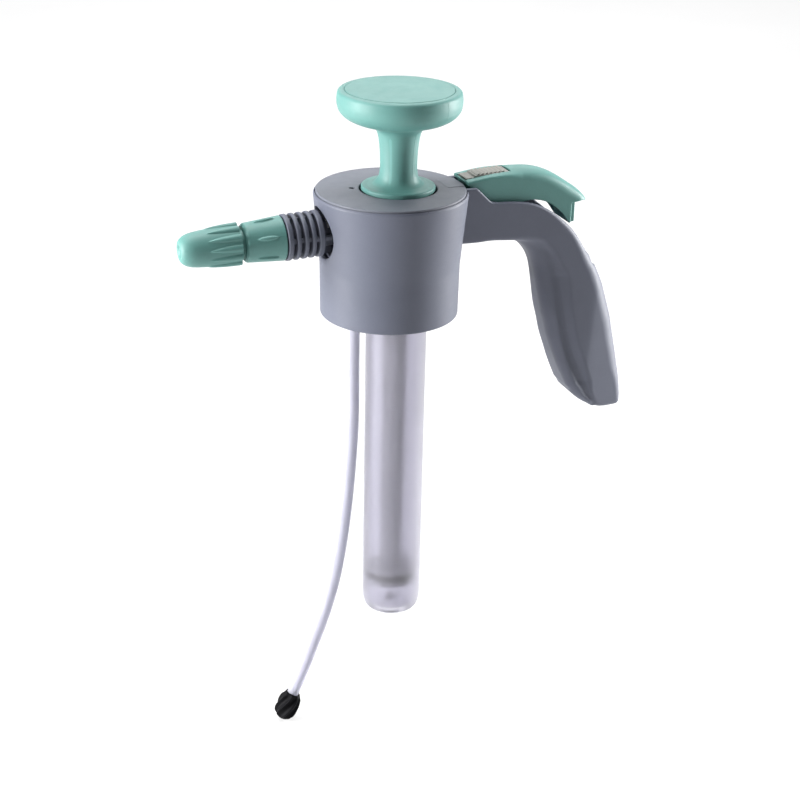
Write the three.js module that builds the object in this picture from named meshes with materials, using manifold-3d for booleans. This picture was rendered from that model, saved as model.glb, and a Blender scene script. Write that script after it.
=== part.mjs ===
// Pump head of a hand compression sprayer: a shroud with a curved grip, a pull-up air pump with a
// mushroom knob, a thumb lever that opens the liquid valve, an adjustable nozzle and a dip tube.
// Millimetres, +Z up along the bottle neck. The origin is the centre of the shroud's open mouth.
// The nozzle points to -X, the grip lies on +X and XZ is the plane of symmetry.
import * as THREE from 'three';
import { mergeVertices } from 'three/addons/utils/BufferGeometryUtils.js';
import Module from 'manifold-3d';

const wasm = await Module();
wasm.setup();

// ---- driving dimensions ----
const GAP = 0.3;                 // clearance between pieces that touch or run in each other

const DRUM_R_FOOT = 33.0;        // outer radius of the drum at its mouth
const DRUM_R_WAIST = 33.3;       // outer radius where the flare starts
const DRUM_WAIST_Z = 25;
const DRUM_R_TOP = 36.4;         // outer radius at the rim
const DRUM_TOP_Z = 59.6;
const DRUM_WALL = 2.2;
const LID_R = 35.3;
const LID_TOP_Z = 60.6;
const LID_SEAT_Z = 57.2;         // ledge that carries the lid

const PUMP_X = 3.6;              // the pump stands off the neck axis, towards the grip
const WELL_R = 18.35;            // hole in the lid around the knob's foot
const KNOB_R = 29;
const KNOB_TOP_Z = 107.2;
const KNOB_CAP_R = 25.3;
const KNOB_NECK_R = 8.9;
const KNOB_FOOT_R = 17.4;
const KNOB_FOOT_Z = 59.7;
const CYLINDER_R = 14.5;
const CYLINDER_BORE_R = 12.9;
const CYLINDER_BOTTOM_Z = -161;
const DECK_Z = 27;               // underside of the deck that closes the neck
const DECK_T = 4;
const DECK_R = 30.6;
const ROD_R = 5.8;
const PISTON_Z = -147;           // underside of the piston when the knob is down

const NECK_R = 23.9;             // inner radius of the collar's thread crests
const COLLAR_R = 26.7;
const SCREW_R = 28.85;           // radius of the ring of deck screws
const SCREW_ANGLES = [90, 215, 325];

const VALVE_Z = 43;              // height of the liquid valve's axis
const VALVE_FRONT_X = -32.8;
const VALVE_REAR_X = -15.2;
const LINK_FRONT_X = -12.6;      // front face of the link that pushes the valve stem
const GUIDE_NECK_R = 10.5;       // the rod guide is slim where the link passes around it
const NOZZLE_ROOT = [-33.3, 0, 42.6];
const NOZZLE_DROOP = 2;          // degrees that the spray axis dips below -X
const FIN_R = 10.9;

const ARM_HALF = 12.2;           // half width of the arm and the grip
const ARM_WALL = 2.4;
const RIDGE_HALF = 9.4;          // half width of the narrower finger ridge
const LEVER_HALF = 8.85;
const PIVOT = [38.6, 56.2];      // x, z of the lever's pin
const SLIDER_HALF = 4.9;

const DIP_X = -17.8;
const DIP_R = 3;
const RELIEF = [-11, 16.5];      // x, y of the relief valve

const ROUND = 24;                // facets on a large round piece
const MEDIUM = 20;               // facets on the nozzle's pieces
const SMALL = 12;                // facets on a small piece

// ---- colours ----
const plain = (color, roughness, metalness = 0) => (name) =>
  new THREE.MeshStandardMaterial({ name, color, roughness, metalness });
const green = plain(0x8cc3b4, 0.42);
const grey = plain(0x868a9a, 0.48);
const warmGrey = plain(0x94958f, 0.5);
const white = plain(0xe9e9e6, 0.5);
const black = plain(0x17171a, 0.6);
const steel = plain(0xb9bcc0, 0.3, 1);
const milky = (name) => new THREE.MeshStandardMaterial({
  name, color: 0xd5d3de, roughness: 0.35, metalness: 0, transparent: true, opacity: 0.6 });

// ---- solids ----
const rad = THREE.MathUtils.degToRad;

function solid(geometry) {
  geometry.deleteAttribute('normal');
  geometry.deleteAttribute('uv');
  const merged = mergeVertices(geometry, 1e-4);
  const place = merged.attributes.position.array;
  const index = merged.index.array;
  const kept = [];
  let volume = 0;
  const a = new THREE.Vector3();
  const b = new THREE.Vector3();
  const c = new THREE.Vector3();
  for (let i = 0; i < index.length; i += 3) {
    const [p, q, r] = [index[i], index[i + 1], index[i + 2]];
    if (p === q || q === r || r === p) continue;
    kept.push(p, q, r);
    a.fromArray(place, 3 * p);
    b.fromArray(place, 3 * q);
    c.fromArray(place, 3 * r);
    volume += a.dot(b.cross(c));
  }
  if (volume < 0) kept.reverse();
  return new wasm.Manifold(new wasm.Mesh({
    numProp: 3, vertProperties: Float32Array.from(place), triVerts: Uint32Array.from(kept) }));
}

function toGeometry(body) {
  const out = body.getMesh();
  const geometry = new THREE.BufferGeometry();
  geometry.setAttribute('position', new THREE.BufferAttribute(Float32Array.from(out.vertProperties), 3));
  geometry.setIndex(new THREE.BufferAttribute(Uint32Array.from(out.triVerts), 1));
  geometry.computeVertexNormals();
  return geometry;
}

const sum = (...bodies) => bodies.reduce((all, one) => all.add(one));
const cut = (body, ...tools) => tools.reduce((left, tool) => left.subtract(tool), body);

// A profile of [radius, height] pairs turned about +Z, closed on itself or ending on the axis.
function turned(profile, facets = ROUND) {
  const points = profile.map(([r, z]) => new THREE.Vector2(r, z));
  const open = profile[0][0] > 0 || profile[profile.length - 1][0] > 0;
  if (open) points.push(points[0].clone());
  return solid(new THREE.LatheGeometry(points, facets).rotateX(Math.PI / 2));
}

const rod = (r, z0, z1, facets = SMALL) => turned([[0, z0], [r, z0], [r, z1], [0, z1]], facets);
const ring = (inner, outer, z0, z1, facets = ROUND) =>
  turned([[inner, z0], [outer, z0], [outer, z1], [inner, z1]], facets);

function box(x0, x1, y0, y1, z0, z1) {
  const geometry = new THREE.BoxGeometry(x1 - x0, y1 - y0, z1 - z0);
  geometry.translate((x0 + x1) / 2, (y0 + y1) / 2, (z0 + z1) / 2);
  return solid(geometry);
}

// A rubber ring of round section.
function oRing(radius, thickness, z, facets = SMALL) {
  return solid(new THREE.TorusGeometry(radius, thickness, 6, facets).translate(0, 0, z));
}

// A side outline in X and Z, made solid across Y. Entries of the outline are [x, z] corners or
// lists of them, which are joined by one smooth curve.
function slab(outline, half, bevel = 0, smooth = 2) {
  const shape = new THREE.Shape();
  outline.forEach((entry, i) => {
    if (typeof entry[0] === 'number') {
      if (i === 0) shape.moveTo(...entry);
      else shape.lineTo(...entry);
    } else {
      shape.splineThru(entry.map(([x, z]) => new THREE.Vector2(x, z)));
    }
  });
  shape.closePath();
  const geometry = new THREE.ExtrudeGeometry(shape, {
    depth: 2 * (half - bevel), curveSegments: smooth, bevelEnabled: bevel > 0,
    bevelSize: bevel, bevelThickness: bevel, bevelOffset: -bevel, bevelSegments: 2 });
  geometry.translate(0, 0, -(half - bevel));
  return solid(geometry.rotateX(Math.PI / 2));
}

// A wire coil about +Z.
function coil(radius, wire, z0, z1, turns) {
  const points = [];
  const steps = turns * 9;
  for (let i = 0; i <= steps; i += 1) {
    const angle = (2 * Math.PI * turns * i) / steps;
    const height = z0 + ((z1 - z0) * i) / steps;
    points.push(new THREE.Vector3(radius * Math.cos(angle), radius * Math.sin(angle), height));
  }
  return alongPath(points, wire, 5, steps);
}

function alongPath(points, radius, sides, steps) {
  const section = new THREE.Shape();
  section.absarc(0, 0, radius, 0, 2 * Math.PI, false);
  const path = new THREE.CatmullRomCurve3(points);
  return solid(new THREE.ExtrudeGeometry(section, {
    steps, curveSegments: sides, bevelEnabled: false, extrudePath: path }));
}

function piece(group, name, body, material) {
  const mesh = new THREE.Mesh(toGeometry(body), material(name));
  mesh.name = name;
  group.add(mesh);
  return mesh;
}

function placed(parent, x, y, z, turnY = 0) {
  const group = new THREE.Group();
  group.position.set(x, y, z);
  group.rotation.y = rad(turnY);
  parent.add(group);
  return group;
}

const onRing = (radius, degrees) => [radius * Math.cos(rad(degrees)), radius * Math.sin(rad(degrees))];
const screwPlaces = SCREW_ANGLES.map((angle) => onRing(SCREW_R, angle));

const head = new THREE.Group();
head.name = 'sprayer_pump_head';
const pump = placed(head, PUMP_X, 0, 0);
const valve = placed(head, VALVE_FRONT_X, 0, VALVE_Z, 90);
const nozzle = placed(head, ...NOZZLE_ROOT, -90 - NOZZLE_DROOP);

// ---- shroud: drum, arm and hollow grip in one moulding ----
const DRUM_OUTSIDE = [[DRUM_R_FOOT - 0.6, 0], [DRUM_R_FOOT, 0.7], [DRUM_R_WAIST, DRUM_WAIST_Z],
  [DRUM_R_TOP, DRUM_TOP_Z - 1.1], [DRUM_R_TOP - 0.3, DRUM_TOP_Z]];
const DRUM_INSIDE = [[DRUM_R_FOOT - DRUM_WALL, 0], [DRUM_R_WAIST - DRUM_WALL, DRUM_WAIST_Z],
  [DRUM_R_TOP - DRUM_WALL - 0.5, LID_SEAT_Z]];

// Outlines of the arm and the grip, each from the drum outwards.
const ARM_UNDERSIDE = [[30, 33.7], [40, 33.4], [50.2, 33.4], [58.6, 32], [64, 29.4], [68.4, 25.2]];
const FINGER_SIDE = [[72.6, 18], [74.6, 11.5], [76.3, 3], [79.1, -9], [82.7, -22.3], [87.5, -36], [91.4, -45.6]];
const GRIP_END = [[98.2, -53.4], [104.4, -58.2], [110.6, -61.8], [117, -63.9]];
const GRIP_BACK = [[125.2, -55], [124, -46], [120.4, -29.7], [115, -9.4], [110.5, 3.9], [105.6, 13.6]];
const CHANNEL_RIM = [[99.2, 20], [95, 27.1], [88.2, 36.8], [79, 44.9], [70, 49.6], [61, 51.6]];
const GROOVE = [[70, 31], [80.3, 22], [85.4, 7.3], [88.4, -8], [92.8, -26], [100.2, -44], [106, -55]];
const EAR = [[50, 52.4], [46.4, 53.2], [39.2, 60.3], [30, 60.3]];

function shroudSolid() {
  const drum = turned([...DRUM_OUTSIDE, [LID_R + GAP, DRUM_TOP_Z], [LID_R + GAP, LID_SEAT_Z],
    ...[...DRUM_INSIDE].reverse()]);
  const drumHollow = turned([[0, -1], [DRUM_R_FOOT - DRUM_WALL, -1], ...DRUM_INSIDE,
    [LID_R + GAP, LID_SEAT_Z], [LID_R + GAP, DRUM_TOP_Z + 2], [0, DRUM_TOP_Z + 2]]);
  const arch = slab([[30, 33.7], ...ARM_UNDERSIDE.slice(1, 4), GROOVE.slice(0, 4), [96, -8], [104, 4],
    [100.6, 15], CHANNEL_RIM, ...EAR], ARM_HALF, 1.4);
  const grip = slab([[84.4, 10], GROOVE.slice(3), ...GRIP_END.slice(2), [125.2, -63.6], GRIP_BACK,
    [98.6, 16]], ARM_HALF, 3.2);
  const ridge = slab([[52, 40], [52, 33.2], ...ARM_UNDERSIDE.slice(3), FINGER_SIDE, ...GRIP_END.slice(0, 3),
    [112, -50], [104, -34], [97, -16], [93, 6], [84, 26]], RIDGE_HALF, 2.4);
  // The arm is a channel, open along its top and back, that runs on as the hollow of the grip.
  const channel = slab([[35, 36.3], [50.2, 36], [64, 34], [83, 25], [88.6, 6], [91.4, -16], [98, -36],
    [106.5, -54], [108, -70], [123, -70], [121.6, -58], [119.4, -46], [115.8, -29.7], [110.6, -9.4],
    [106.2, 3.4], [103, 9.6], [108, 22], [94, 50], [70, 70], [35, 70]], ARM_HALF - ARM_WALL);
  const fingerHollow = slab([[62, 34], [70.6, 25.4], [75, 18], [77.2, 11.5], [79, 3], [82, -9],
    [85.4, -22], [90, -35], [94, -44.6], [106, -54], [98, -36], [91.4, -16], [88.6, 6], [83, 25]],
  RIDGE_HALF - 3.6);
  const window = box(26, 40, -9.8, 9.8, 36.5, 56.4);
  const arm = cut(sum(arch, grip, ridge), drumHollow, channel, fingerHollow);
  const spigotHole = rod(12.4, 0, 20, ROUND).rotate([0, -90, 0]).translate([-26, 0, NOZZLE_ROOT[2] - 0.3]);
  let body = cut(sum(drum, arm), window, spigotHole);
  for (const [x, y] of screwPlaces) {
    const boss = rod(3.1, DECK_Z + DECK_T + GAP, 40, SMALL).translate([x, y, 0]);
    body = body.add(boss).subtract(rod(1.4, 20, 38.5, 12).translate([x, y, 0]));
  }
  const pinHole = rod(1.8, -11.2, 11.2, 16).rotate([90, 0, 0]).translate([PIVOT[0], 0, PIVOT[1]]);
  return body.subtract(pinHole);
}
piece(head, 'head_shroud', shroudSolid(), grey);

// Plug that closes the core opening in the grip's lower end.
piece(head, 'grip_end_plug', slab([[107.2, -55.4], [109.2, -58.8], [117, -61.4], [121.6, -61.2],
  [121.2, -58.2], [119, -54.4]], ARM_HALF - ARM_WALL - GAP), grey);

// ---- lid ----
const lidDisc = turned([[0, 58.3], [31.3, 58.3], [31.3, 54.6], [32.7, 54.6], [33.1, LID_SEAT_Z + GAP],
  [LID_R, LID_SEAT_Z + GAP], [LID_R, LID_TOP_Z - 0.4], [LID_R - 0.5, LID_TOP_Z], [0, LID_TOP_Z]]);
const wellWall = rod(WELL_R + 1.6, 56, 59, ROUND).translate([PUMP_X, 0, 0]);
const tongue = box(25.6, 34.6, -6.9, 6.9, 59.6, LID_TOP_Z + 0.25);
piece(head, 'head_lid', cut(sum(lidDisc, wellWall, tongue),
  rod(WELL_R, 50, 63, ROUND).translate([PUMP_X, 0, 0]),
  rod(1.25, 50, 63, 12).translate([-17.1, 6.1, 0])), grey);

// ---- neck collar, gasket and deck ----
const thread = [0, 1, 2, 3].map((turn) => 5.5 + 4.6 * turn);
const collarProfile = [[COLLAR_R, 1.5], [COLLAR_R, 23.4], [30.3, 23.4], [30.3, DECK_Z - GAP],
  [NECK_R + 1.4, DECK_Z - GAP]];
for (const z of [...thread].reverse()) {
  collarProfile.push([NECK_R + 1.4, z + 1.3], [NECK_R, z], [NECK_R + 1.4, z - 1.3]);
}
collarProfile.push([NECK_R + 1.4, 1.5]);
const collarHoles = screwPlaces.map(([x, y]) => rod(1.5, 15, 35, 12).translate([x, y, 0]));
piece(head, 'neck_collar', cut(turned(collarProfile), ...collarHoles), white);
piece(head, 'neck_gasket', ring(22.3, NECK_R + 1.1, DECK_Z - GAP - 2, DECK_Z - GAP), black);

const deckTop = DECK_Z + DECK_T;
const dipSocket = rod(DIP_R + 1.1, 15, DECK_Z + 1, SMALL).translate([DIP_X, 0, 0]);
const dipRiser = rod(3.2, deckTop - 1, VALVE_Z - 7.4, SMALL).translate([DIP_X, 0, 0]);
piece(head, 'neck_deck', cut(sum(rod(DECK_R, DECK_Z, deckTop, ROUND), dipSocket, dipRiser),
  rod(CYLINDER_R + GAP + 0.15, 20, 40, ROUND).translate([PUMP_X, 0, 0]),
  rod(DIP_R + GAP, 10, DECK_Z - 0.5, SMALL).translate([DIP_X, 0, 0]),
  rod(1.8, 10, 50, 12).translate([DIP_X, 0, 0]),
  rod(1.1, 20, 40, 12).translate([...RELIEF, 0]), ...collarHoles), white);
screwPlaces.forEach(([x, y], i) => {
  const screw = sum(rod(1.1, 22, 36, 12), rod(1.75, 21.2, 23.1, 12));
  piece(head, `deck_screw_${i + 1}`, screw.translate([x, y, 0]), steel);
});

// ---- air pump ----
const cylinderTop = deckTop + 3.2;
piece(pump, 'pump_cylinder', cut(turned([[0, CYLINDER_BOTTOM_Z + 1.8], [3.2, CYLINDER_BOTTOM_Z + 1.8],
  [3.2, CYLINDER_BOTTOM_Z], [CYLINDER_R - 2.4, CYLINDER_BOTTOM_Z],
  [CYLINDER_R - 0.7, CYLINDER_BOTTOM_Z + 0.8],
  [CYLINDER_R - 0.2, CYLINDER_BOTTOM_Z + 3], [CYLINDER_R, deckTop + 1.5], [17.4, deckTop + 1.5],
  [17.4, cylinderTop], [CYLINDER_BORE_R, cylinderTop], [CYLINDER_BORE_R, CYLINDER_BOTTOM_Z + 3.6],
  [0, CYLINDER_BOTTOM_Z + 3.6]]),
...[0, 90, 180, 270].map((angle) => rod(0.9, CYLINDER_BOTTOM_Z - 1, CYLINDER_BOTTOM_Z + 5, 8)
  .translate([...onRing(2.1, angle), 0])),
rod(0.8, CYLINDER_BOTTOM_Z - 1, CYLINDER_BOTTOM_Z + 5, 8)), milky);
piece(pump, 'cylinder_seal', oRing(16, 0.55, deckTop + 0.9, ROUND), black);
piece(pump, 'check_valve', turned([[0, CYLINDER_BOTTOM_Z + 0.5], [2.9, CYLINDER_BOTTOM_Z + 0.9],
  [2.9, CYLINDER_BOTTOM_Z + 1.5], [0.5, CYLINDER_BOTTOM_Z + 1.5], [0.5, CYLINDER_BOTTOM_Z + 4.1],
  [0.9, CYLINDER_BOTTOM_Z + 4.5], [0, CYLINDER_BOTTOM_Z + 5.3]], 16), black);

// The guide nut centres the rod and holds the knob's two bayonet lugs when the knob is turned.
const guideTop = 59.2;
const opposite = (body) => [body, body.rotate([0, 0, 180])];
const guideBody = turned([[ROD_R + GAP, 35.6], [14.6, 35.6], [14.6, cylinderTop + GAP],
  [17.4, cylinderTop + GAP], [17.4, 37.6], [GUIDE_NECK_R, 39.6], [GUIDE_NECK_R, 47.4], [16.4, 49.8],
  [16.4, guideTop], [11.6, guideTop], [11.6, 55.6], [14.8, 55.6], [14.8, 50.6], [11.6, 50.6],
  [7.4, 48.4], [7.4, 38.6], [ROD_R + GAP, 38.6]]);
piece(pump, 'rod_guide', cut(guideBody, ...opposite(box(0, 14.6, -4.3, 4.3, 54, 70)),
  ...[90, 270].map((angle) => rod(1, 30, 37, 8).translate([...onRing(9.4, angle), 0])),
  box(-1, 1, -20, 20, 45.6, 47.2)), white);

piece(pump, 'pump_rod', sum(rod(ROD_R, PISTON_Z + 10.3, 51, SMALL), rod(3.1, 50, 58, SMALL),
  rod(2.6, PISTON_Z + 5, PISTON_Z + 11, SMALL)), white);
piece(pump, 'pump_piston', cut(turned([[0, PISTON_Z], [12.3, PISTON_Z], [12.3, PISTON_Z + 2.6],
  [10.2, PISTON_Z + 2.6], [10.2, PISTON_Z + 6.2], [12.3, PISTON_Z + 6.2], [12.3, PISTON_Z + 8.4],
  [7.6, PISTON_Z + 10], [0, PISTON_Z + 10]]), rod(2.9, PISTON_Z + 4.7, PISTON_Z + 12, SMALL)), white);
piece(pump, 'piston_seal', turned([[10.5, PISTON_Z + 2.9], [12.1, PISTON_Z + 2.9], [12.6, PISTON_Z + 4.4],
  [12.1, PISTON_Z + 5.9], [10.5, PISTON_Z + 5.9]]), black);

// Knob: a hollow mushroom on a waisted neck, with a foot flange and two lugs below it.
const knobOutside = [[11.2, KNOB_FOOT_Z - 9], [11.2, KNOB_FOOT_Z], [KNOB_FOOT_R, KNOB_FOOT_Z],
  [KNOB_FOOT_R, KNOB_FOOT_Z + 2.2], [KNOB_FOOT_R - 0.6, KNOB_FOOT_Z + 2.7], [11.8, KNOB_FOOT_Z + 4.1],
  [9.3, KNOB_FOOT_Z + 6.6], [KNOB_NECK_R - 0.3, KNOB_FOOT_Z + 11], [KNOB_NECK_R, KNOB_FOOT_Z + 19],
  [9.5, KNOB_FOOT_Z + 25], [10.9, KNOB_FOOT_Z + 28.8], [13.6, KNOB_FOOT_Z + 31.2], [20, KNOB_FOOT_Z + 33.4],
  [25.6, KNOB_FOOT_Z + 36.4], [28.2, KNOB_FOOT_Z + 39.4], [KNOB_R, KNOB_FOOT_Z + 42],
  [KNOB_R, KNOB_FOOT_Z + 43.8], [28, KNOB_TOP_Z - 1.4], [KNOB_CAP_R + GAP, KNOB_TOP_Z - 0.3]];
const knobInside = [[KNOB_CAP_R + GAP, KNOB_TOP_Z - 2.3], [24, KNOB_TOP_Z - 2.3], [24, KNOB_TOP_Z - 8],
  [7, KNOB_TOP_Z - 13.4], [6.2, KNOB_FOOT_Z], [3.4, KNOB_FOOT_Z - 2], [3.4, KNOB_FOOT_Z - 8.4],
  [6.1, KNOB_FOOT_Z - 8.4], [6.1, KNOB_FOOT_Z - 9]];
const lugs = opposite(box(9, 13.8, -3.8, 3.8, 51.2, 54.9));
piece(pump, 'knob_body', sum(turned([...knobOutside, ...knobInside]), ...lugs), green);
piece(pump, 'knob_cap', turned([[0, KNOB_TOP_Z - 2], [22.6, KNOB_TOP_Z - 2], [KNOB_CAP_R, KNOB_TOP_Z - 2],
  [KNOB_CAP_R, KNOB_TOP_Z - 0.4], [KNOB_CAP_R - 0.5, KNOB_TOP_Z], [0, KNOB_TOP_Z + 0.3]]), green);

// ---- liquid valve; local +Z runs along +X from the valve's front face ----
const valveLength = VALVE_REAR_X - VALVE_FRONT_X;
const stemLength = LINK_FRONT_X - VALVE_FRONT_X - GAP;
const dipAlong = DIP_X - VALVE_FRONT_X;
const inletPort = rod(3.6, 3, 8, SMALL).rotate([0, 90, 0]).translate([0, 0, dipAlong]);
const inletBore = rod(1.8, 2, 12, 12).rotate([0, 90, 0]).translate([0, 0, dipAlong]);
const valveOutside = rod(6.2, 0, valveLength, 32);
piece(valve, 'valve_body', cut(sum(valveOutside, inletPort.intersect(box(-20, 7.1, -20, 20, -5, 30))),
  rod(4.2, -1, 7.2, SMALL), rod(2.3, 5, 20, SMALL), rod(3.4, 9.4, 15.4, SMALL), rod(1.75, 14, 30, SMALL),
  inletBore), white);
piece(valve, 'valve_stem', sum(turned([[0, 3.6], [3.4, 3.6], [3.4, 4.6], [1.3, 4.6],
  [1.3, stemLength], [0, stemLength]])), white);
piece(valve, 'valve_disc', ring(1.6, 3.7, 4.9, 6.8, SMALL), black);
piece(valve, 'valve_spring', coil(2.6, 0.3, 0.5, 2.9, 2), steel);
piece(valve, 'stem_seal', oRing(2.35, 0.6, 14.4), black);

// Link that carries the lever's push around both sides of the pump to the valve stem.
const linkZ = [VALVE_Z - 2, VALVE_Z + 2];
const linkHalf = 15.4;
piece(head, 'valve_link', cut(box(LINK_FRONT_X, 35.2, -linkHalf, linkHalf, ...linkZ),
  box(LINK_FRONT_X + 3.6, 18.6, -linkHalf + 3.4, linkHalf - 3.4, 30, 60),
  box(23, 50, 8.2, 40, 30, 60), box(23, 50, -40, -8.2, 30, 60)), white);

// ---- relief valve on the deck ----
const relief = placed(head, ...RELIEF, 0);
piece(relief, 'relief_seat', turned([[1.1, deckTop + GAP], [3.4, deckTop + GAP], [3.4, 38.6],
  [2.7, 38.6], [2.7, deckTop + 1.6], [1.1, deckTop + 1.6]], SMALL), white);
piece(relief, 'relief_pin', turned([[0, deckTop + 1.9], [2.3, deckTop + 1.9], [2.3, deckTop + 3],
  [0.7, deckTop + 3], [0.7, 38], [0, 38]], 16), black);
piece(relief, 'relief_spring', coil(1.6, 0.25, deckTop + 3.7, 38.2, 3), steel);
piece(relief, 'relief_cap', ring(1.2, 3.4, 38.9, 40.1, SMALL), white);

// ---- nozzle; local +Z is the spray direction ----
const finStarts = [2.1, 6.3, 9.9, 13.6, 17.2];
const finWidths = [2.9, 2.1, 2.1, 2.1, 2.5];
const spigotProfile = [[2.2, 0.3], [6.4, 0.3]];
finStarts.forEach((start, i) => {
  spigotProfile.push([6.4, start], [FIN_R, start], [FIN_R, start + finWidths[i]],
    [6.4, start + finWidths[i]]);
});
spigotProfile.push([6.4, 19.9], [5, 19.9], [5, 30], [2.2, 30]);
const webs = [0, 90].map((angle) => cut(box(-8.6, 8.6, -0.8, 0.8, 0.6, 18).rotate([0, 0, angle]),
  rod(4, 0, 20, SMALL)));
piece(nozzle, 'nozzle_spigot', sum(turned(spigotProfile, MEDIUM), ...webs), grey);

const ribOn = (radius, slope, z0, z1, facets = 6) => solid(new THREE.SphereGeometry(1, facets, 4)
  .scale(0.8, 1.0, (z1 - z0) / 2)).rotate([0, slope, 0]).translate([radius, 0, (z0 + z1) / 2]);
const bodyRear = 20.2;
const bodyFront = 38.9;
const neckEnd = 58.5;
let sleeve = turned([[5.3, bodyRear], [10.7, bodyRear], [9.1, bodyFront - 1.2], [8.2, bodyFront],
  [6.2, bodyFront], [6.2, neckEnd], [3.2, neckEnd], [3.2, 30.4], [5.3, 30.4]], MEDIUM);
for (let i = 0; i < 6; i += 1) {
  sleeve = sleeve.add(ribOn(9.9, -4.8, 24, 33).rotate([0, 0, 60 * i + 30]));
}
for (const z of [40.2, 42.6, 45, 47.4]) {
  sleeve = sleeve.add(turned([[5.6, z - 0.8], [6.9, z - 0.2], [6.9, z + 0.2], [5.6, z + 0.8]], MEDIUM));
}
sleeve = sleeve.subtract(ring(5.4, 7, 52.6, 55.6, MEDIUM));
piece(nozzle, 'nozzle_sleeve', sleeve, green);
piece(nozzle, 'nozzle_seal', oRing(6.35, 0.65, 54.1, MEDIUM), black);
piece(nozzle, 'swirl_core', cut(rod(2.8, 52, neckEnd + 0.6, SMALL), ...[0, 120, 240].map((angle) =>
  box(1.9, 4, -0.5, 0.5, 50, 60).rotate([0, 0, angle]))), white);

const capRear = 40.9;
const capFront = 68.6;
let cap = turned([[7.3, capRear], [9.3, capRear], [8.9, capRear + 14], [7.9, capFront - 3.4],
  [6.9, capFront - 1.2], [5.2, capFront], [3.6, capFront], [2.4, capFront - 1.2], [1.6, capFront - 1.4],
  [1.6, capFront - 4.2], [5.3, capFront - 4.2], [5.3, capFront - 7], [7.3, capFront - 8.6]], MEDIUM);
for (let i = 0; i < 12; i += 1) {
  const rib = ribOn(9.1, -1.9, capRear - 11, capRear + 13.6).subtract(rod(20, 0, capRear, 8));
  cap = cap.add(rib.rotate([0, 0, 30 * i]));
}
cap = cap.subtract(rod(7.3, 30, capFront - 8.6, MEDIUM));
piece(nozzle, 'nozzle_cap', cap, green);
piece(nozzle, 'orifice_disc', ring(0.5, 5, capFront - 6.7, capFront - 4.5, SMALL), white);

// ---- thumb lever, its pin and its lock slider ----
const LEVER_TOP = [[44, 64.1], [57, 65.3], [66.5, 65.3], [73.5, 64.2], [79.5, 62], [85, 58.9], [90.5, 55.1],
  [95.6, 51]];
const LEG_FRONT = [[90, 37.9], [85.4, 43.1], [81, 46.9], [75.5, 49.9], [69, 51.2]];
const FINGER_TIP_Z = 42;
const leverOutside = slab([[37.2, 50.6], [37.2, 60.1], [35, 60.9], [35, 63], LEVER_TOP, [98.8, 46.8],
  [92.3, 47.9], [92.3, 38.1], LEG_FRONT, [64, 50.6]], LEVER_HALF, 0.9);
const leverHollow = slab([[39, 30], [44, 51], [44, 61.6], [57, 63], [66, 63], [73, 61.9], [78.5, 59.9],
  [84, 56.8], [90, 52.6], [90.1, 47], [90.1, 30]], LEVER_HALF - 2);
const finger = slab([[36, 52], [35.6, 46], [35.6, FINGER_TIP_Z], [38.2, FINGER_TIP_Z], [40.8, 52]], 5);
const sliderBed = box(30, 58.2 + GAP, -SLIDER_HALF - GAP, SLIDER_HALF + GAP, 62.3, 70);
const leverPinHole = rod(1.8, -12, 12, 16).rotate([90, 0, 0]).translate([PIVOT[0], 0, PIVOT[1]]);
const leverShell = sum(cut(leverOutside, leverHollow), finger);
piece(head, 'trigger_lever', cut(leverShell, sliderBed, leverPinHole), green);
piece(head, 'trigger_pin', rod(1.5, -10.9, 10.9, 16).rotate([90, 0, 0])
  .translate([PIVOT[0], 0, PIVOT[1]]), steel);
const sliderTeeth = [];
for (let i = 0; i < 7; i += 1) {
  const x = 41.6 + 2.05 * i;
  sliderTeeth.push([x, 64.9], [x + 1.75, 65.7]);
}
piece(head, 'lock_slider', slab([[35.9, 62.6], [35.9, 63.6], [40, 64], [40.8, 64.9], ...sliderTeeth,
  [56.2, 65.2], [58.2, 64.9], [58.2, 62.6]], SLIDER_HALF), warmGrey);

// ---- dip tube and its filter ----
const DIP_ROUTE = [[26, 0], [10, 0], [-10, 0], [-30, 0], [-50, 0.1], [-70, -0.6], [-90, -2], [-105, -3.4],
  [-120, -5.2], [-135, -7.6], [-150, -10.9], [-165, -15.4], [-180, -20.8], [-195, -26.6], [-208.4, -32.4]];
const routePoints = DIP_ROUTE.map(([z, dx]) => new THREE.Vector3(DIP_X + dx, 0, z));
piece(head, 'dip_tube', alongPath(routePoints, DIP_R, 8, 20), milky);

const filterGroup = placed(head, DIP_X - 31.6, 0, -206.9, 180 + 24);
let filter = turned([[0, 15.2], [2.6, 14.8], [4.8, 12.6], [5.6, 9], [5.4, 5], [4.6, 1.6], [4.1, 0],
  [3.4, 0], [3.4, 3.2], [0, 3.2]], SMALL);
for (let i = 0; i < 8; i += 1) {
  filter = filter.add(ribOn(4.9, 0, 1.5, 14).rotate([0, 0, 45 * i]));
}
piece(filterGroup, 'dip_filter', filter.subtract(rod(3.4, -3, 3.2, SMALL)), black);

export default head;
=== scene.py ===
"""Looks of the pump head of a hand compression sprayer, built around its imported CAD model.

Meshes are worked out in millimetres in the frame of the CAD and stored in metres.
+Z is up along the bottle neck, the nozzle points to -X and the grip lies on +X.
"""
import math

import bpy
import numpy as np
from mathutils import Matrix, Vector


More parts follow.
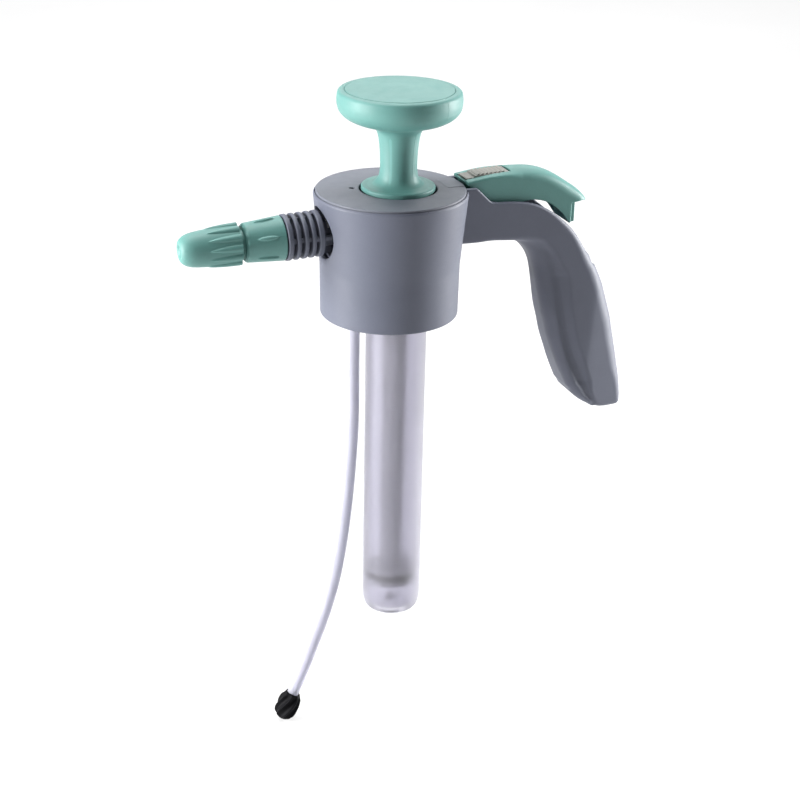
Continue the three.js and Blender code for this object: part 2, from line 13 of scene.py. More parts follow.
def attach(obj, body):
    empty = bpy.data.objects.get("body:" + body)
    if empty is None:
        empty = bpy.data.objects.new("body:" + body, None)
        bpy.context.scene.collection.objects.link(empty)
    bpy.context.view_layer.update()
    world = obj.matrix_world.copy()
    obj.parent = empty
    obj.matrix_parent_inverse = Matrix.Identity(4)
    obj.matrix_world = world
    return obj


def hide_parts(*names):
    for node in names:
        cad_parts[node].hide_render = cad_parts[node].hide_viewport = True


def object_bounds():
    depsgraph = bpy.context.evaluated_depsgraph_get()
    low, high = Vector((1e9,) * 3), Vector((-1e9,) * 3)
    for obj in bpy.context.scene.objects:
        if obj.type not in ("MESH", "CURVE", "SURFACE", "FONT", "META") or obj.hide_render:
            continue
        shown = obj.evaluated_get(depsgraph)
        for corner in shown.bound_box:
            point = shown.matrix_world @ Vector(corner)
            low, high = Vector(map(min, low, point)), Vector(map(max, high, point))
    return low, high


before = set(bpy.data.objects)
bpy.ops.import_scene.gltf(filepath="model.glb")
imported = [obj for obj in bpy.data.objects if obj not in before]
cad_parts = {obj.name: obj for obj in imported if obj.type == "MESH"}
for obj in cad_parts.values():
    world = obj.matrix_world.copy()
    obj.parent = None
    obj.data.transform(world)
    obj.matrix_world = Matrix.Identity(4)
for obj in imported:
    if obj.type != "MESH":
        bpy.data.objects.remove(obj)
CAD_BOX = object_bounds()
MM = 0.001

# ---- driving dimensions, in millimetres ----
DRUM_R_FOOT = 33.0
DRUM_R_WAIST = 33.3
DRUM_WAIST_Z = 25
DRUM_R_TOP = 36.4
DRUM_TOP_Z = 59.6
DRUM_WALL = 2.2
DRUM_FLARE = 0.092
LID_R = 35.3
LID_TOP_Z = 60.6
LID_SEAT_Z = 57.2
PUMP_X = 3.6
WELL_R = 18.35
DECK_Z = 27.0
DECK_TOP_Z = 31.0
CYLINDER_BOTTOM_Z = -161.0
PISTON_Z = -147.0
NOZZLE_ROOT = (-33.3, 0, 42.6)
NOZZLE_DROOP = 2
PIVOT = (38.6, 0, 56.2)
ARM_HALF = 12.2
LEVER_HALF = 8.85
DIP_X = -17.8
DIP_R = 3.0
SCREW_R = 28.85
SCREW_ANGLES = (90, 215, 325)
FLOOR_HALF = 60000


def upright(x, y):
    return Matrix.Translation((x, y, 0))


def turned(place, degrees, axis):
    """A place turned about one of its own axes."""
    return Matrix.Translation(place) @ Matrix.Rotation(math.radians(degrees), 4, axis)


PUMP_PLACE = upright(PUMP_X, 0)
NOZZLE_PLACE = turned(NOZZLE_ROOT, -90 - NOZZLE_DROOP, "Y")
FILTER_PLACE = turned((DIP_X - 31.6, 0, -206.9), 180 + 24, "Y")

# ---- camera ----
CAMERA_AZIMUTH = -21.5
CAMERA_PITCH = 24.08
CAMERA_ROLL = 1.227
CAMERA_DISTANCE = 838.3
CAMERA_TARGET = (6.8, 0, -48.3)
CAMERA_LENS = 76.5
SENSOR_WIDTH = 36


def placed(name, data):
    """A new object in the scene."""
    obj = bpy.data.objects.new(name, data)
    bpy.context.scene.collection.objects.link(obj)
    return obj


def make_camera():
    data = bpy.data.cameras.new("camera")
    data.sensor_width = SENSOR_WIDTH
    data.lens = CAMERA_LENS
    data.clip_end = 20
    camera = placed("camera", data)
    azimuth = math.radians(CAMERA_AZIMUTH)
    pitch = math.radians(CAMERA_PITCH)
    roll = math.radians(CAMERA_ROLL)
    side = Vector((math.cos(azimuth), math.sin(azimuth), 0))
    level = Vector((math.sin(azimuth), -math.cos(azimuth), 0))
    back = level * math.cos(pitch) + Vector((0, 0, math.sin(pitch)))
    up = back.cross(side)
    right = side * math.cos(roll) + up * math.sin(roll)
    top = up * math.cos(roll) - side * math.sin(roll)
    facing = Matrix((right, top, back)).transposed().to_4x4()
    place = (Vector(CAMERA_TARGET) + back * CAMERA_DISTANCE) * MM
    camera.matrix_world = Matrix.Translation(place) @ facing
    bpy.context.scene.camera = camera


make_camera()


# ---- profiles ----
def spline(points, per=6):
    """Points on a smooth curve through the given ones."""
    p = np.asarray(points, float)
    ends = np.vstack([2 * p[0] - p[1], p, 2 * p[-1] - p[-2]])
    out = []
    for i in range(1, len(ends) - 2):
        a, b, c, d = ends[i - 1 : i + 3]
        for t in np.linspace(0, 1, per, endpoint=False):
            out.append(0.5 * (2 * b + (c - a) * t + (2 * a - 5 * b + 4 * c - d) * t * t
                + (3 * b - a - 3 * c + d) * t ** 3))
    out.append(p[-1])
    return [tuple(q) for q in out]


def rounded(corners, steps=4):
    """An outline whose corners (a, b, radius) are turned into arcs; a corner (a, b) stays sharp."""
    out = []
    for i, corner in enumerate(corners):
        here = Vector(corner[:2])
        if len(corner) < 3:
            out.append(tuple(here))
            continue
        radius = corner[2]
        before = Vector(corners[i - 1][:2]) - here
        after = Vector(corners[(i + 1) % len(corners)][:2]) - here
        angle = before.angle(after)
        if angle > math.pi - 0.02:
            out.append(tuple(here))
            continue
        reach = min(radius / math.tan(angle / 2), 0.48 * before.length, 0.48 * after.length)
        radius = reach * math.tan(angle / 2)
        before.normalize()
        after.normalize()
        centre = here + (before + after).normalized() * (radius / math.sin(angle / 2))
        first = here + before * reach - centre
        last = here + after * reach - centre
        sweep = math.pi - angle
        across = (last - first * math.cos(sweep)) / math.sin(sweep)
        for k in range(steps + 1):
            t = sweep * k / steps
            out.append(tuple(centre + first * math.cos(t) + across * math.sin(t)))
    return out


def finer(outline, longest, closed=True):
    """The outline with its long stretches divided."""
    out = []
    ends = outline[1:] + (outline[:1] if closed else [])
    for a, b in zip(outline, ends):
        parts = max(1, math.ceil(math.dist(a[:2], b[:2]) / longest))
        for k in range(parts):
            out.append(tuple(np.array(a) + (np.array(b) - np.array(a)) * k / parts))
    if not closed:
        out.append(outline[-1])
    return out


# ---- meshes ----
def signed_volume(verts, faces):
    """Six times the volume inside the faces, below zero if they are inside out."""
    total = 0.0
    for f in faces:
        a = verts[f[0]]
        for k in range(1, len(f) - 1):
            total += np.dot(a, np.cross(verts[f[k]], verts[f[k + 1]]))
    return total


def make(name, verts, faces, place=None, normals=None):
    """A mesh object from points in millimetres, moved by place, which is in millimetres too."""
    verts = np.asarray(verts, float)
    faces = [tuple(int(i) for i in f) for f in faces]
    if signed_volume(verts - verts.mean(0), faces) < 0:
        faces = [f[::-1] for f in faces]
    if place is not None:
        m = np.array(place)
        verts = verts @ m[:3, :3].T + m[:3, 3]
        if normals is not None:
            normals = normals @ m[:3, :3].T
    mesh = bpy.data.meshes.new(name)
    mesh.from_pydata((verts * MM).tolist(), [], faces)
    obj = placed(name, mesh)
    if normals is None:
        smooth(obj)
    else:
        mesh.polygons.foreach_set("use_smooth", [True] * len(mesh.polygons))
        mesh.normals_split_custom_set_from_vertices(normals.tolist())
    return obj


def read(items, key, width, kind=float):
    """A property of many mesh items, one row each."""
    values = np.zeros(len(items) * width, kind)
    items.foreach_get(key, values)
    return values.reshape(-1, width)


def smooth(obj, crease=50):
    """Smooth shading in which large faces count for more, broken at sharp edges."""
    mesh = obj.data
    mesh.polygons.foreach_set("use_smooth", [True] * len(mesh.polygons))
    flat = read(mesh.polygons, "normal", 3)
    weighted = flat * read(mesh.polygons, "area", 1)
    vertex = read(mesh.loops, "vertex_index", 1, int)[:, 0]
    owner = np.repeat(np.arange(len(mesh.polygons)), [p.loop_total for p in mesh.polygons])
    limit = math.cos(math.radians(crease))
    around = [[] for _ in mesh.vertices]
    for loop, v in enumerate(vertex):
        around[v].append(owner[loop])
    total = np.zeros((len(mesh.vertices), 3))
    np.add.at(total, vertex, weighted[owner])
    mean = total / np.maximum(np.linalg.norm(total, axis=1, keepdims=True), 1e-20)
    result = mean[vertex]
    turned_away = np.einsum("ij,ij->i", result, flat[owner]) < limit
    for loop in np.nonzero(turned_away)[0]:
        own = flat[owner[loop]]
        near = [f for f in around[vertex[loop]] if np.dot(flat[f], own) > limit]
        n = sum(weighted[f] for f in near)
        result[loop] = n / max(np.linalg.norm(n), 1e-20)
    mesh.normals_split_custom_set(result.tolist())


def band(rings, sides, closed):
    """Faces between rings of points that are numbered one ring after the other."""
    faces = []
    for k in range(rings if closed else rings - 1):
        a, b = k * sides, (k + 1) % rings * sides
        for i in range(sides):
            j = (i + 1) % sides
            faces.append((a + i, a + j, b + j, b + i))
    return faces


def turn(name, profile, sides=128, place=None, warp=None, angles=None):
    """A profile of (radius, height) or (radius, height, centre x) turned about +Z.
    warp(radius, height, angles) gives the radius at the angles. A profile that doesn't start and
    end on the axis is closed."""
    if angles is None:
        angles = np.arange(sides) * 2 * math.pi / sides
    sides = len(angles)
    verts, rows = [], []
    for point in profile:
        r, z = point[0], point[1]
        shift = point[2] if len(point) > 2 else 0
        if r < 1e-6:
            rows.append([len(verts)] * sides)
            verts.append((shift, 0, z))
            continue
        radius = warp(r, z, angles) if warp else r
        rows.append(list(range(len(verts), len(verts) + sides)))
        verts += list(zip(shift + radius * np.cos(angles), radius * np.sin(angles), [z] * sides))
    pairs = list(zip(rows[:-1], rows[1:]))
    if len(set(rows[0])) > 1 or len(set(rows[-1])) > 1:
        pairs.append((rows[-1], rows[0]))
    faces = []
    for low, high in pairs:
        for k in range(sides):
            n = (k + 1) % sides
            ring = [low[k], low[n], high[n], high[k]]
            face = [v for i, v in enumerate(ring) if v != ring[i - 1]]
            if len(face) > 2:
                faces.append(face)
    return make(name, verts, faces, place)


def prism(name, outline, half, edge=0.3, steps=2, place=None):
    """A side outline in X and Z made solid across Y, with its outer edges rounded."""
    p = np.asarray(outline, float)
    following = np.roll(p, -1, 0)
    if np.sum(p[:, 0] * following[:, 1] - following[:, 0] * p[:, 1]) < 0:
        p = p[::-1]
    ahead = np.roll(p, -1, 0) - p
    ahead /= np.linalg.norm(ahead, axis=1, keepdims=True)
    out_a = np.stack([ahead[:, 1], -ahead[:, 0]], 1)
    out_b = np.roll(out_a, 1, 0)
    mitre = out_a + out_b
    mitre /= np.maximum(np.einsum("ij,ij->i", mitre, out_a), 0.35)[:, None]
    rings = [(edge, -half)] + [(edge * (1 - math.sin(t)), -half + edge * (1 - math.cos(t)))
        for t in np.linspace(0, math.pi / 2, steps + 1)[1:]]
    rings += [(inset, -y) for inset, y in reversed(rings)]
    verts = []
    count = len(p)
    for inset, y in rings:
        verts += [(x, y, z) for x, z in p - mitre * inset]
    faces = band(len(rings), count, closed=False)
    faces.append(tuple(range(count))[::-1])
    faces.append(tuple(range((len(rings) - 1) * count, len(rings) * count)))
    return make(name, verts, faces, place)


def bore(radius, low, high, place, sides=48):
    """A plain round tool for carve."""
    return turn("bore", [(0, low), (radius, low), (radius, high), (0, high)], sides, place)


def carve(obj, *tools, operation="DIFFERENCE"):
    """Cuts the tools out of obj, or adds them to it, removes them and smooths what is left."""
    for tool in tools:
        modifier = obj.modifiers.new("cut", "BOOLEAN")
        modifier.operation = operation
        modifier.object = tool
        modifier.solver = "EXACT"
    bpy.context.view_layer.update()
    graph = bpy.context.evaluated_depsgraph_get()
    mesh = bpy.data.meshes.new_from_object(obj.evaluated_get(graph))
    obj.modifiers.clear()
    obj.data = mesh
    for tool in tools:
        bpy.data.objects.remove(tool)
    smooth(obj)
    return obj


def joined(name, *parts):
    """One object out of several, each keeping its own shading."""
    verts, faces, normals = [], [], []
    for part in parts:
        mesh = part.data
        start = len(verts)
        verts += [tuple(v.co) for v in mesh.vertices]
        faces += [tuple(start + i for i in p.vertices) for p in mesh.polygons]
        normals += read(mesh.corner_normals, "vector", 3).tolist()
    mesh = bpy.data.meshes.new(name)
    mesh.from_pydata(verts, [], faces)
    mesh.polygons.foreach_set("use_smooth", [True] * len(mesh.polygons))
    mesh.normals_split_custom_set(normals)
    obj = placed(name, mesh)
    for part in parts:
        bpy.data.objects.remove(part)
    return obj


# ---- shapes given by a distance field ----
class Sheet:
    """A function of X and Z, looked up from a fine grid."""

    def __init__(self, points, margin, pitch, fill):
        low, high = points.min(0) - margin, points.max(0) + margin
        self.low, self.pitch = low, pitch
        xs = np.arange(low[0], high[0] + pitch, pitch)
        zs = np.arange(low[1], high[1] + pitch, pitch)
        self.grid = fill(*np.meshgrid(xs, zs, indexing="ij"))

    def __call__(self, x, z):
        u = np.clip((x - self.low[0]) / self.pitch, 0, self.grid.shape[0] - 1.001)
        v = np.clip((z - self.low[1]) / self.pitch, 0, self.grid.shape[1] - 1.001)
        i, j = u.astype(int), v.astype(int)
        fu, fv = u - i, v - j
        g = self.grid
        return ((g[i, j] * (1 - fu) + g[i + 1, j] * fu) * (1 - fv)
                + (g[i, j + 1] * (1 - fu) + g[i + 1, j + 1] * fu) * fv)


def nearest_of(starts, ends, x, z):
    """Distance from the nearest of the stretches between starts and ends."""
    nearest = np.full(x.shape, 1e9)
    for (ax, az), (bx, bz) in zip(starts, ends):
        ex, ez = bx - ax, bz - az
        size = ex * ex + ez * ez
        if size < 1e-12:
            continue
        wx, wz = x - ax, z - az
        t = np.clip((wx * ex + wz * ez) / size, 0, 1)
        nearest = np.minimum(nearest, (wx - ex * t) ** 2 + (wz - ez * t) ** 2)
    return np.sqrt(nearest)


def outline(points, margin=8, pitch=0.35, soften=2):
    """Signed distance from a closed outline, negative inside, with its creases softened."""
    p = np.asarray(points, float)
    ends = np.roll(p, -1, 0)

    def fill(x, z):
        inside = np.zeros(x.shape, bool)
        for (ax, az), (bx, bz) in zip(p, ends):
            if abs(bz - az) > 1e-9:
                crosses = ((az <= z) & (z < bz)) | ((bz <= z) & (z < az))
                inside ^= crosses & (x < ax + (z - az) * (bx - ax) / (bz - az))
        g = nearest_of(p, ends, x, z)
        g = np.where(inside, -g, g)
        for _ in range(soften):
            inner = g.copy()
            inner[1:-1, 1:-1] = (g[1:-1, 1:-1] * 4 + g[:-2, 1:-1] + g[2:, 1:-1] + g[1:-1, :-2]
                + g[1:-1, 2:]) / 8
            g = inner
        return g

    return Sheet(p, margin, pitch, fill)


def curve_distance(points, margin=20, pitch=0.5):
    """Distance from an open curve."""
    p = np.asarray(points, float)

    def fill(x, z):
        return nearest_of(p[:-1], p[1:], x, z)

    return Sheet(p, margin, pitch, fill)


def spread_values(samples, reach=7.0):
    """A smooth field of x and z that comes near the third number of every sample."""
    places = np.array([(x, z) for x, z, value in samples])
    values = np.array([value for x, z, value in samples])

    def value_at(x, z):
        total = np.full(np.shape(x), 1e-9)
        weighted = np.full(np.shape(x), 1e-9 * values.mean())
        for (px, pz), value in zip(places, values):
            weight = np.exp(-((x - px) ** 2 + (z - pz) ** 2) / (2 * reach * reach))
            total = total + weight
            weighted = weighted + weight * value
        return weighted / total

    return value_at


def extruded(d, y, half, r):
    """A side outline's distance made solid across Y, with edges of radius r."""
    a = d + r
    b = np.abs(y) - half + r
    return np.minimum(np.maximum(a, b), 0) + np.hypot(np.maximum(a, 0), np.maximum(b, 0)) - r


def soft_max(a, b, k):
    """The larger of two distances, with the crease between them rounded over k."""
    h = np.clip(0.5 + 0.5 * (a - b) / k, 0, 1)
    return b + (a - b) * h + k * h * (1 - h)


def soft_min(a, b, k):
    return -soft_max(-a, -b, k)


def skin(name, field, low, high, step, place=None):
    """A mesh of the surface where field(x, y, z) is zero, negative inside."""
    axes = [np.arange(a, b + step, step) for a, b in zip(low, high)]
    values = field(axes[0][:, None, None], axes[1][None, :, None], axes[2][None, None, :])
    shape = tuple(len(a) for a in axes)
    values = np.broadcast_to(values, shape)
    inside = values < 0
    corners = [(i, j, k) for i in (0, 1) for j in (0, 1) for k in (0, 1)]
    count = sum(inside[i : shape[0] - 1 + i, j : shape[1] - 1 + j, k : shape[2] - 1 + k].astype(np.int8)
                for i, j, k in corners)
    cells = np.argwhere((count > 0) & (count < 8))
    number = np.full(count.shape, -1, np.int64)
    number[tuple(cells.T)] = np.arange(len(cells))
    total = np.zeros((len(cells), 3))
    found = np.zeros(len(cells))
    for a in corners:
        for b in corners:
            if sum(b) - sum(a) != 1 or sum(abs(p - q) for p, q in zip(a, b)) != 1:
                continue
            va = values[tuple((cells + a).T)]
            vb = values[tuple((cells + b).T)]
            hit = (va < 0) != (vb < 0)
            t = va[hit] / (va[hit] - vb[hit])
            total[hit] += np.array(a) + (np.array(b) - np.array(a)) * t[:, None]
            found[hit] += 1
    verts = np.array(low) + step * (cells + total / found[:, None])
    faces = []
    for axis in range(3):
        u, v = [(1, 2), (2, 0), (0, 1)][axis]
        near = [slice(None)] * 3
        far = [slice(None)] * 3
        near[axis], far[axis] = slice(0, -1), slice(1, None)
        first, second = inside[tuple(near)], inside[tuple(far)]
        edges = np.argwhere(first != second)
        edges = edges[(edges[:, u] > 0) & (edges[:, v] > 0)]
        edges = edges[(edges[:, u] < shape[u] - 1) & (edges[:, v] < shape[v] - 1)]
        outward = first[tuple(edges.T)]
        quad = []
        for du, dv in ((-1, -1), (0, -1), (0, 0), (-1, 0)):
            cell = edges.copy()
            cell[:, u] += du
            cell[:, v] += dv
            quad.append(number[tuple(cell.T)])
        quad = np.stack(quad, 1)
        quad[~outward] = quad[~outward][:, ::-1]
        faces.append(quad)
    faces = np.concatenate(faces)

    def at(p):
        return field(p[:, 0], p[:, 1], p[:, 2])

    def slope(p, reach):
        g = np.zeros_like(p)
        for axis in range(3):
            e = np.zeros(3)
            e[axis] = reach
            g[:, axis] = (at(p + e) - at(p - e)) / (2 * reach)
        return g

    for _ in range(2):
        g = slope(verts, 0.15)
        size = np.maximum((g * g).sum(1), 0.2)
        move = -(at(verts) / size)[:, None] * g
        length = np.linalg.norm(move, axis=1, keepdims=True)
        verts = verts + move * np.minimum(1, 0.5 * step / np.maximum(length, 1e-9))
    g = slope(verts, 0.3)
    normals = g / np.maximum(np.linalg.norm(g, axis=1, keepdims=True), 1e-9)
    return make(name, verts, faces, place, normals=normals)


# ---- materials ----
class Nodes:
    """Short hands for building one node material."""

    def __init__(self, name):
        self.material = bpy.data.materials.new(name)
        self.material.use_nodes = True
        self.tree = self.material.node_tree
        self.shader = self.tree.nodes["Principled BSDF"]
        self.where = self.add("ShaderNodeTexCoord").outputs["Object"]

    def add(self, kind, inputs=(), **settings):
        node = self.tree.nodes.new(kind)
        for key, value in settings.items():
            setattr(node, key, value)
        self.fill(node, inputs)
        return node

    def fill(self, node, inputs):
        """Links each input to an output, or gives it a plain value."""
        for key, value in dict(inputs).items():
            socket = node.inputs[key]
            if isinstance(value, bpy.types.NodeSocket):
                self.tree.links.new(value, socket)
            else:
                socket.default_value = (*value, 1) if socket.type == "RGBA" else value

    def noise(self, scale, detail=3.0, rough=0.55, where=None):
        inputs = {"Vector": where or self.where, "Scale": scale, "Detail": detail, "Roughness": rough}
        return self.add("ShaderNodeTexNoise", inputs).outputs["Fac"]

    def stretched(self, x, y, z):
        return self.add("ShaderNodeMapping", {"Vector": self.where, "Scale": (x, y, z)}).outputs["Vector"]

    def span(self, value, a, b, c, d):
        """The value's range from a to b, spread over c to d."""
        inputs = {"Value": value, "From Min": a, "From Max": b, "To Min": c, "To Max": d}
        return self.add("ShaderNodeMapRange", inputs).outputs["Result"]

    def mix(self, amount, a, b):
        return self.add("ShaderNodeMix", {0: amount, 6: a, 7: b}, data_type="RGBA").outputs[2]

    def calculate(self, operation, a, b):
        return self.add("ShaderNodeMath", {0: a, 1: b}, operation=operation).outputs[0]

    def edges(self, low, high, share):
        """The share at outer edges, nothing elsewhere."""
        return self.span(self.add("ShaderNodeNewGeometry").outputs["Pointiness"], low, high, 0, share)

    def specks(self, scale, size, share):
        """1 at small scattered dots and 0 elsewhere."""
        cells = self.add("ShaderNodeTexVoronoi", {"Vector": self.where, "Scale": scale}, feature="F1")
        near = self.span(cells.outputs["Distance"], size * 0.6, size, 1, 0)
        pick = self.span(cells.outputs["Color"], 1 - share, 1 - share + 0.01, 0, 1)
        return self.calculate("MULTIPLY", near, pick)

    def finish(self, base, rough, *bumps):
        """Fills the shader. Bumps are (height, strength, distance in metres), one on the other."""
        below = {}
        for height, strength, distance in bumps:
            inputs = {"Height": height, "Strength": strength, "Distance": distance, **below}
            below = {"Normal": self.add("ShaderNodeBump", inputs).outputs["Normal"]}
        self.fill(self.shader, {"Base Color": base, "Roughness": rough, **below})
        return self.material


def times(colour, factor):
    return tuple(c * factor for c in colour)


def plastic(name, colour, pale=1.3, rough=(0.48, 0.56), inner=0.0, dust=0.03):
    """Moulded plastic: slight colour drift, a fine eroded grain, paler edges, dust and faint scuffs."""
    n = Nodes(name)
    drift = n.noise(45, 4, 0.6)
    cloud = n.noise(160, 5, 0.6)
    grain = n.noise(1500, 3, 0.6)
    scuffs = n.noise(1, 6, 0.62, n.stretched(90, 90, 620))
    light = times(colour, pale)
    base = n.mix(n.span(drift, 0.3, 0.7, 0, 1), times(colour, 1.04), times(colour, 0.95))
    base = n.mix(n.span(grain, 0.35, 0.7, 0, 0.22), base, times(colour, 0.82))
    base = n.mix(n.edges(0.52, 0.6, 0.6), base, light)
    base = n.mix(n.span(scuffs, 0.64, 0.74, 0, 0.12), base, light)
    base = n.mix(n.specks(420, 0.13, dust), base, times(colour, 0.4))
    worn = n.calculate("ADD", n.span(cloud, 0.3, 0.7, *rough), n.span(scuffs, 0.55, 0.75, 0, 0.08))
    n.fill(n.shader, {"Specular IOR Level": 0.4})
    if inner:
        n.fill(n.shader, {"Subsurface Weight": inner, "Subsurface Radius": (1.0, 0.9, 0.8),
            "Subsurface Scale": 0.0012})
    return n.finish(base, worn, (grain, 0.22, 0.00006), (cloud, 0.06, 0.0003), (drift, 0.05, 0.0008))


def milky(name, colour, rough, through, ior):
    """Natural polypropylene: light passes through it and is scattered on the way."""
    n = Nodes(name)
    cloud = n.noise(90, 4, 0.6)
    lines = n.noise(1, 4, 0.55, n.stretched(260, 260, 14))
    base = n.mix(n.span(cloud, 0.35, 0.7, 0, 0.5), colour, times(colour, 0.93))
    base = n.mix(n.span(lines, 0.4, 0.7, 0, 0.35), base, times(colour, 1.06))
    n.fill(n.shader, {"Transmission Weight": through, "IOR": ior})
    uneven = n.span(cloud, 0.3, 0.7, rough - 0.01, rough + 0.03)
    return n.finish(base, uneven, (n.noise(1400, 2), 0.08, 0.00005), (lines, 0.12, 0.0002))


def rubber(name, colour):
    n = Nodes(name)
    cloud = n.noise(220, 5, 0.6)
    base = n.mix(n.span(cloud, 0.35, 0.7, 0, 1), colour, times(colour, 1.6))
    base = n.mix(n.edges(0.53, 0.62, 0.4), base, times(colour, 3))
    n.fill(n.shader, {"Specular IOR Level": 0.08})
    uneven = n.span(cloud, 0.3, 0.7, 0.45, 0.7)
    return n.finish(base, uneven, (n.noise(2400, 2), 0.25, 0.00004), (cloud, 0.15, 0.0003))


def metal(name, colour):
    n = Nodes(name)
    lines = n.noise(1, 4, 0.6, n.stretched(300, 300, 4000))
    base = n.mix(n.span(lines, 0.35, 0.7, 0, 0.6), colour, times(colour, 0.75))
    n.fill(n.shader, {"Metallic": 1})
    return n.finish(base, n.span(lines, 0.3, 0.7, 0.2, 0.38), (lines, 0.1, 0.00003))


GREY = plastic("grey_polypropylene", (0.104, 0.113, 0.15))
LID_GREY = plastic("lid_polypropylene", (0.125, 0.134, 0.163), rough=(0.54, 0.62))
GREEN = plastic("green_polypropylene", (0.105, 0.255, 0.234), rough=(0.46, 0.54), inner=0.1)
WARM_GREY = plastic("warm_grey_plastic", (0.215, 0.208, 0.19), pale=1.5)
WHITE = plastic("white_acetal", (0.5, 0.5, 0.49), dust=0.02)
MILKY = milky("milky_polypropylene", (0.68, 0.67, 0.75), rough=0.29, through=0.86, ior=1.44)
TUBE = milky("milky_tube", (0.7, 0.7, 0.78), rough=0.38, through=0.6, ior=1.16)
RUBBER = rubber("black_rubber", (0.012, 0.012, 0.013))
BLACK = rubber("black_plastic", (0.003, 0.003, 0.004))
STEEL = metal("stainless_steel", (0.55, 0.56, 0.58))


def paint(obj, material):
    obj.data.materials.clear()
    obj.data.materials.append(material)


def finished(obj, material, body, *nodes):
    """Gives a piece its material and body, and hides the CAD nodes it stands for."""
    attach(obj, body)
    paint(obj, material)
    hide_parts(*nodes)
    return obj


# ---- dip tube and its filter ----
DIP_ROUTE = [(26, 0), (10, 0), (-10, 0), (-30, 0), (-50, 0.1), (-70, -0.6), (-90, -2), (-105, -3.4),
    (-120, -5.2), (-135, -7.6), (-150, -10.9), (-165, -15.4), (-180, -20.8), (-195, -26.6), (-208.4, -32.4)]
DIP_BORE_R = DIP_R * 0.72


def dip_tube():
    """The tube down its route and back along its bore."""
    route = [np.array(p) for p in spline([(DIP_X + dx, z) for z, dx in DIP_ROUTE], 4)]
    last = len(route) - 1
    sides = 40
    ring = np.arange(sides) * 2 * math.pi / sides
    verts = []
    for radius, order in ((DIP_R, range(last + 1)), (DIP_BORE_R, range(last, -1, -1))):
        for i in order:
            x, z = route[i]
            along = route[min(i + 1, last)] - route[max(i - 1, 0)]
            dx, dz = along / np.linalg.norm(along)
            verts += [(x + radius * math.cos(t) * dz, radius * math.sin(t), z - radius * math.cos(t) * dx)
                      for t in ring]
    obj = make("dip_tube_hose", verts, band(2 * len(route), sides, closed=True))
    return finished(obj, TUBE, "head", "dip_tube"), route


def dip_filter():
    rib_count, lean_per_mm, top = 8, 0.075, 15.3
    profile = rounded(
        spline([(0, 15.4), (2.2, 15.1), (4.1, 13.4), (5.15, 10.4), (5.3, 7.4), (4.9, 4.2), (4.2, 1.6)], 5)
        + [(3.75, 0, 0.25), (3.2, 0, 0.2), (3.2, 4.4, 0.2), (0, 4.4)], steps=3)

    def ribs(r, z, angle):
        if r < 3.5 or z < 0.4:
            return r
        swell = min(1, (z - 0.4) / 2.2, max(0, (top - z) / 2.4)) * min(1, (r - 3) / 1.2)
        wave = 0.5 + 0.5 * np.cos(rib_count * (angle - lean_per_mm * (z - 7)))
        return r - 0.55 * swell + 1.35 * swell * wave ** 2.2

    obj = turn("dip_filter_bulb", profile, 160, FILTER_PLACE, warp=ribs)
    return finished(obj, BLACK, "head", "dip_filter")


hose, hose_route = dip_tube()
bulb = dip_filter()
HOSE_PATH = [(x * MM, 0.0, z * MM) for x, z in hose_route]
HOSE_LENGTH = sum(math.dist(a, b) for a, b in zip(HOSE_PATH, HOSE_PATH[1:]))


# ---- shroud ----
ARM_UNDERSIDE = [(24, 33.9), (30, 33.7), (40, 33.4), (50.2, 33.4), (58.6, 32), (64, 29.6), (68.8, 25.4)]
FINGER_SIDE = [(72.2, 20.4), (74.3, 14), (76.4, 4.2), (77.7, -2.4), (79.2, -8.9), (81.1, -15.6),
               (82.9, -22.3), (85.4, -29.2), (88.0, -36), (90.6, -42)]
GRIP_END = [(94.2, -49.6), (98.8, -54.8), (104, -58.9), (108.6, -61.6), (113.4, -63.5), (117.8, -64.4)]
GRIP_BACK = [(126.9, -59), (126.2, -52), (125.4, -45), (123.7, -36.4), (122, -29.6), (118.7, -16.1),
             (116.4, -9.3), (114, -2.7), (111.4, 4), (108.2, 10)]
CREST = [(106.6, 13.0), (105.2, 15.4), (103.2, 18.1), (101.2, 21)]
CHANNEL_RIM = [(99.3, 24), (96.8, 27.7), (93.2, 32.4), (88.6, 37.2), (79, 44.9), (70, 49.6), (61, 51.6),
               (50, 52.4)]
GROOVE = [(66, 31.9), (70.9, 30.6), (76.6, 26.8), (80.4, 21.8), (83.4, 15), (85.4, 7.3),
          (88, -7.5), (92.6, -25.9), (99.8, -43.6), (105.7, -54.6), (109, -61)]
# how round the edges are (x, z, radius) near each place of the side view
ARM_EDGE_R = [(30, 60, 0.8), (45, 54, 0.8), (60, 51.6, 0.9), (72, 49, 1.1), (80, 44.4, 1.5), (88, 37, 2.5),
    (93, 32, 3.4), (97, 27, 4.6), (100, 23, 5.8), (105, 17, 6.8), (109, 9, 7.8), (113, -4, 8.4),
    (117, -18, 8.6), (122, -38, 8.2), (125, -55, 6), (124, -62, 3.4), (117, -63, 2.4), (108, -60, 2.2),
    (98, -53, 2.2), (89, -46, 2.4), (30, 33, 1.4), (50, 33, 1.6), (60, 31, 2.4), (68, 31, 3.6),
    (76, 27, 3.6), (80, 22, 3.2), (85, 7, 3.2), (88, -8, 3.2), (93, -26, 3.2), (100, -44, 3)]
RIDGE_EDGE_R = [(50, 33, 2.0), (58, 32, 3.4), (64, 29, 5.4), (69, 24, 7.0), (73, 14, 8.0), (78, -9, 8.2),
    (85, -30, 7.4), (90, -43, 6), (93, -50, 4.6), (100, -56, 3.8), (112, -62, 3)]
CREASE = [(107.6, 20), (105.6, 4), (104.2, -18), (102.2, -41), (100.6, -60)]


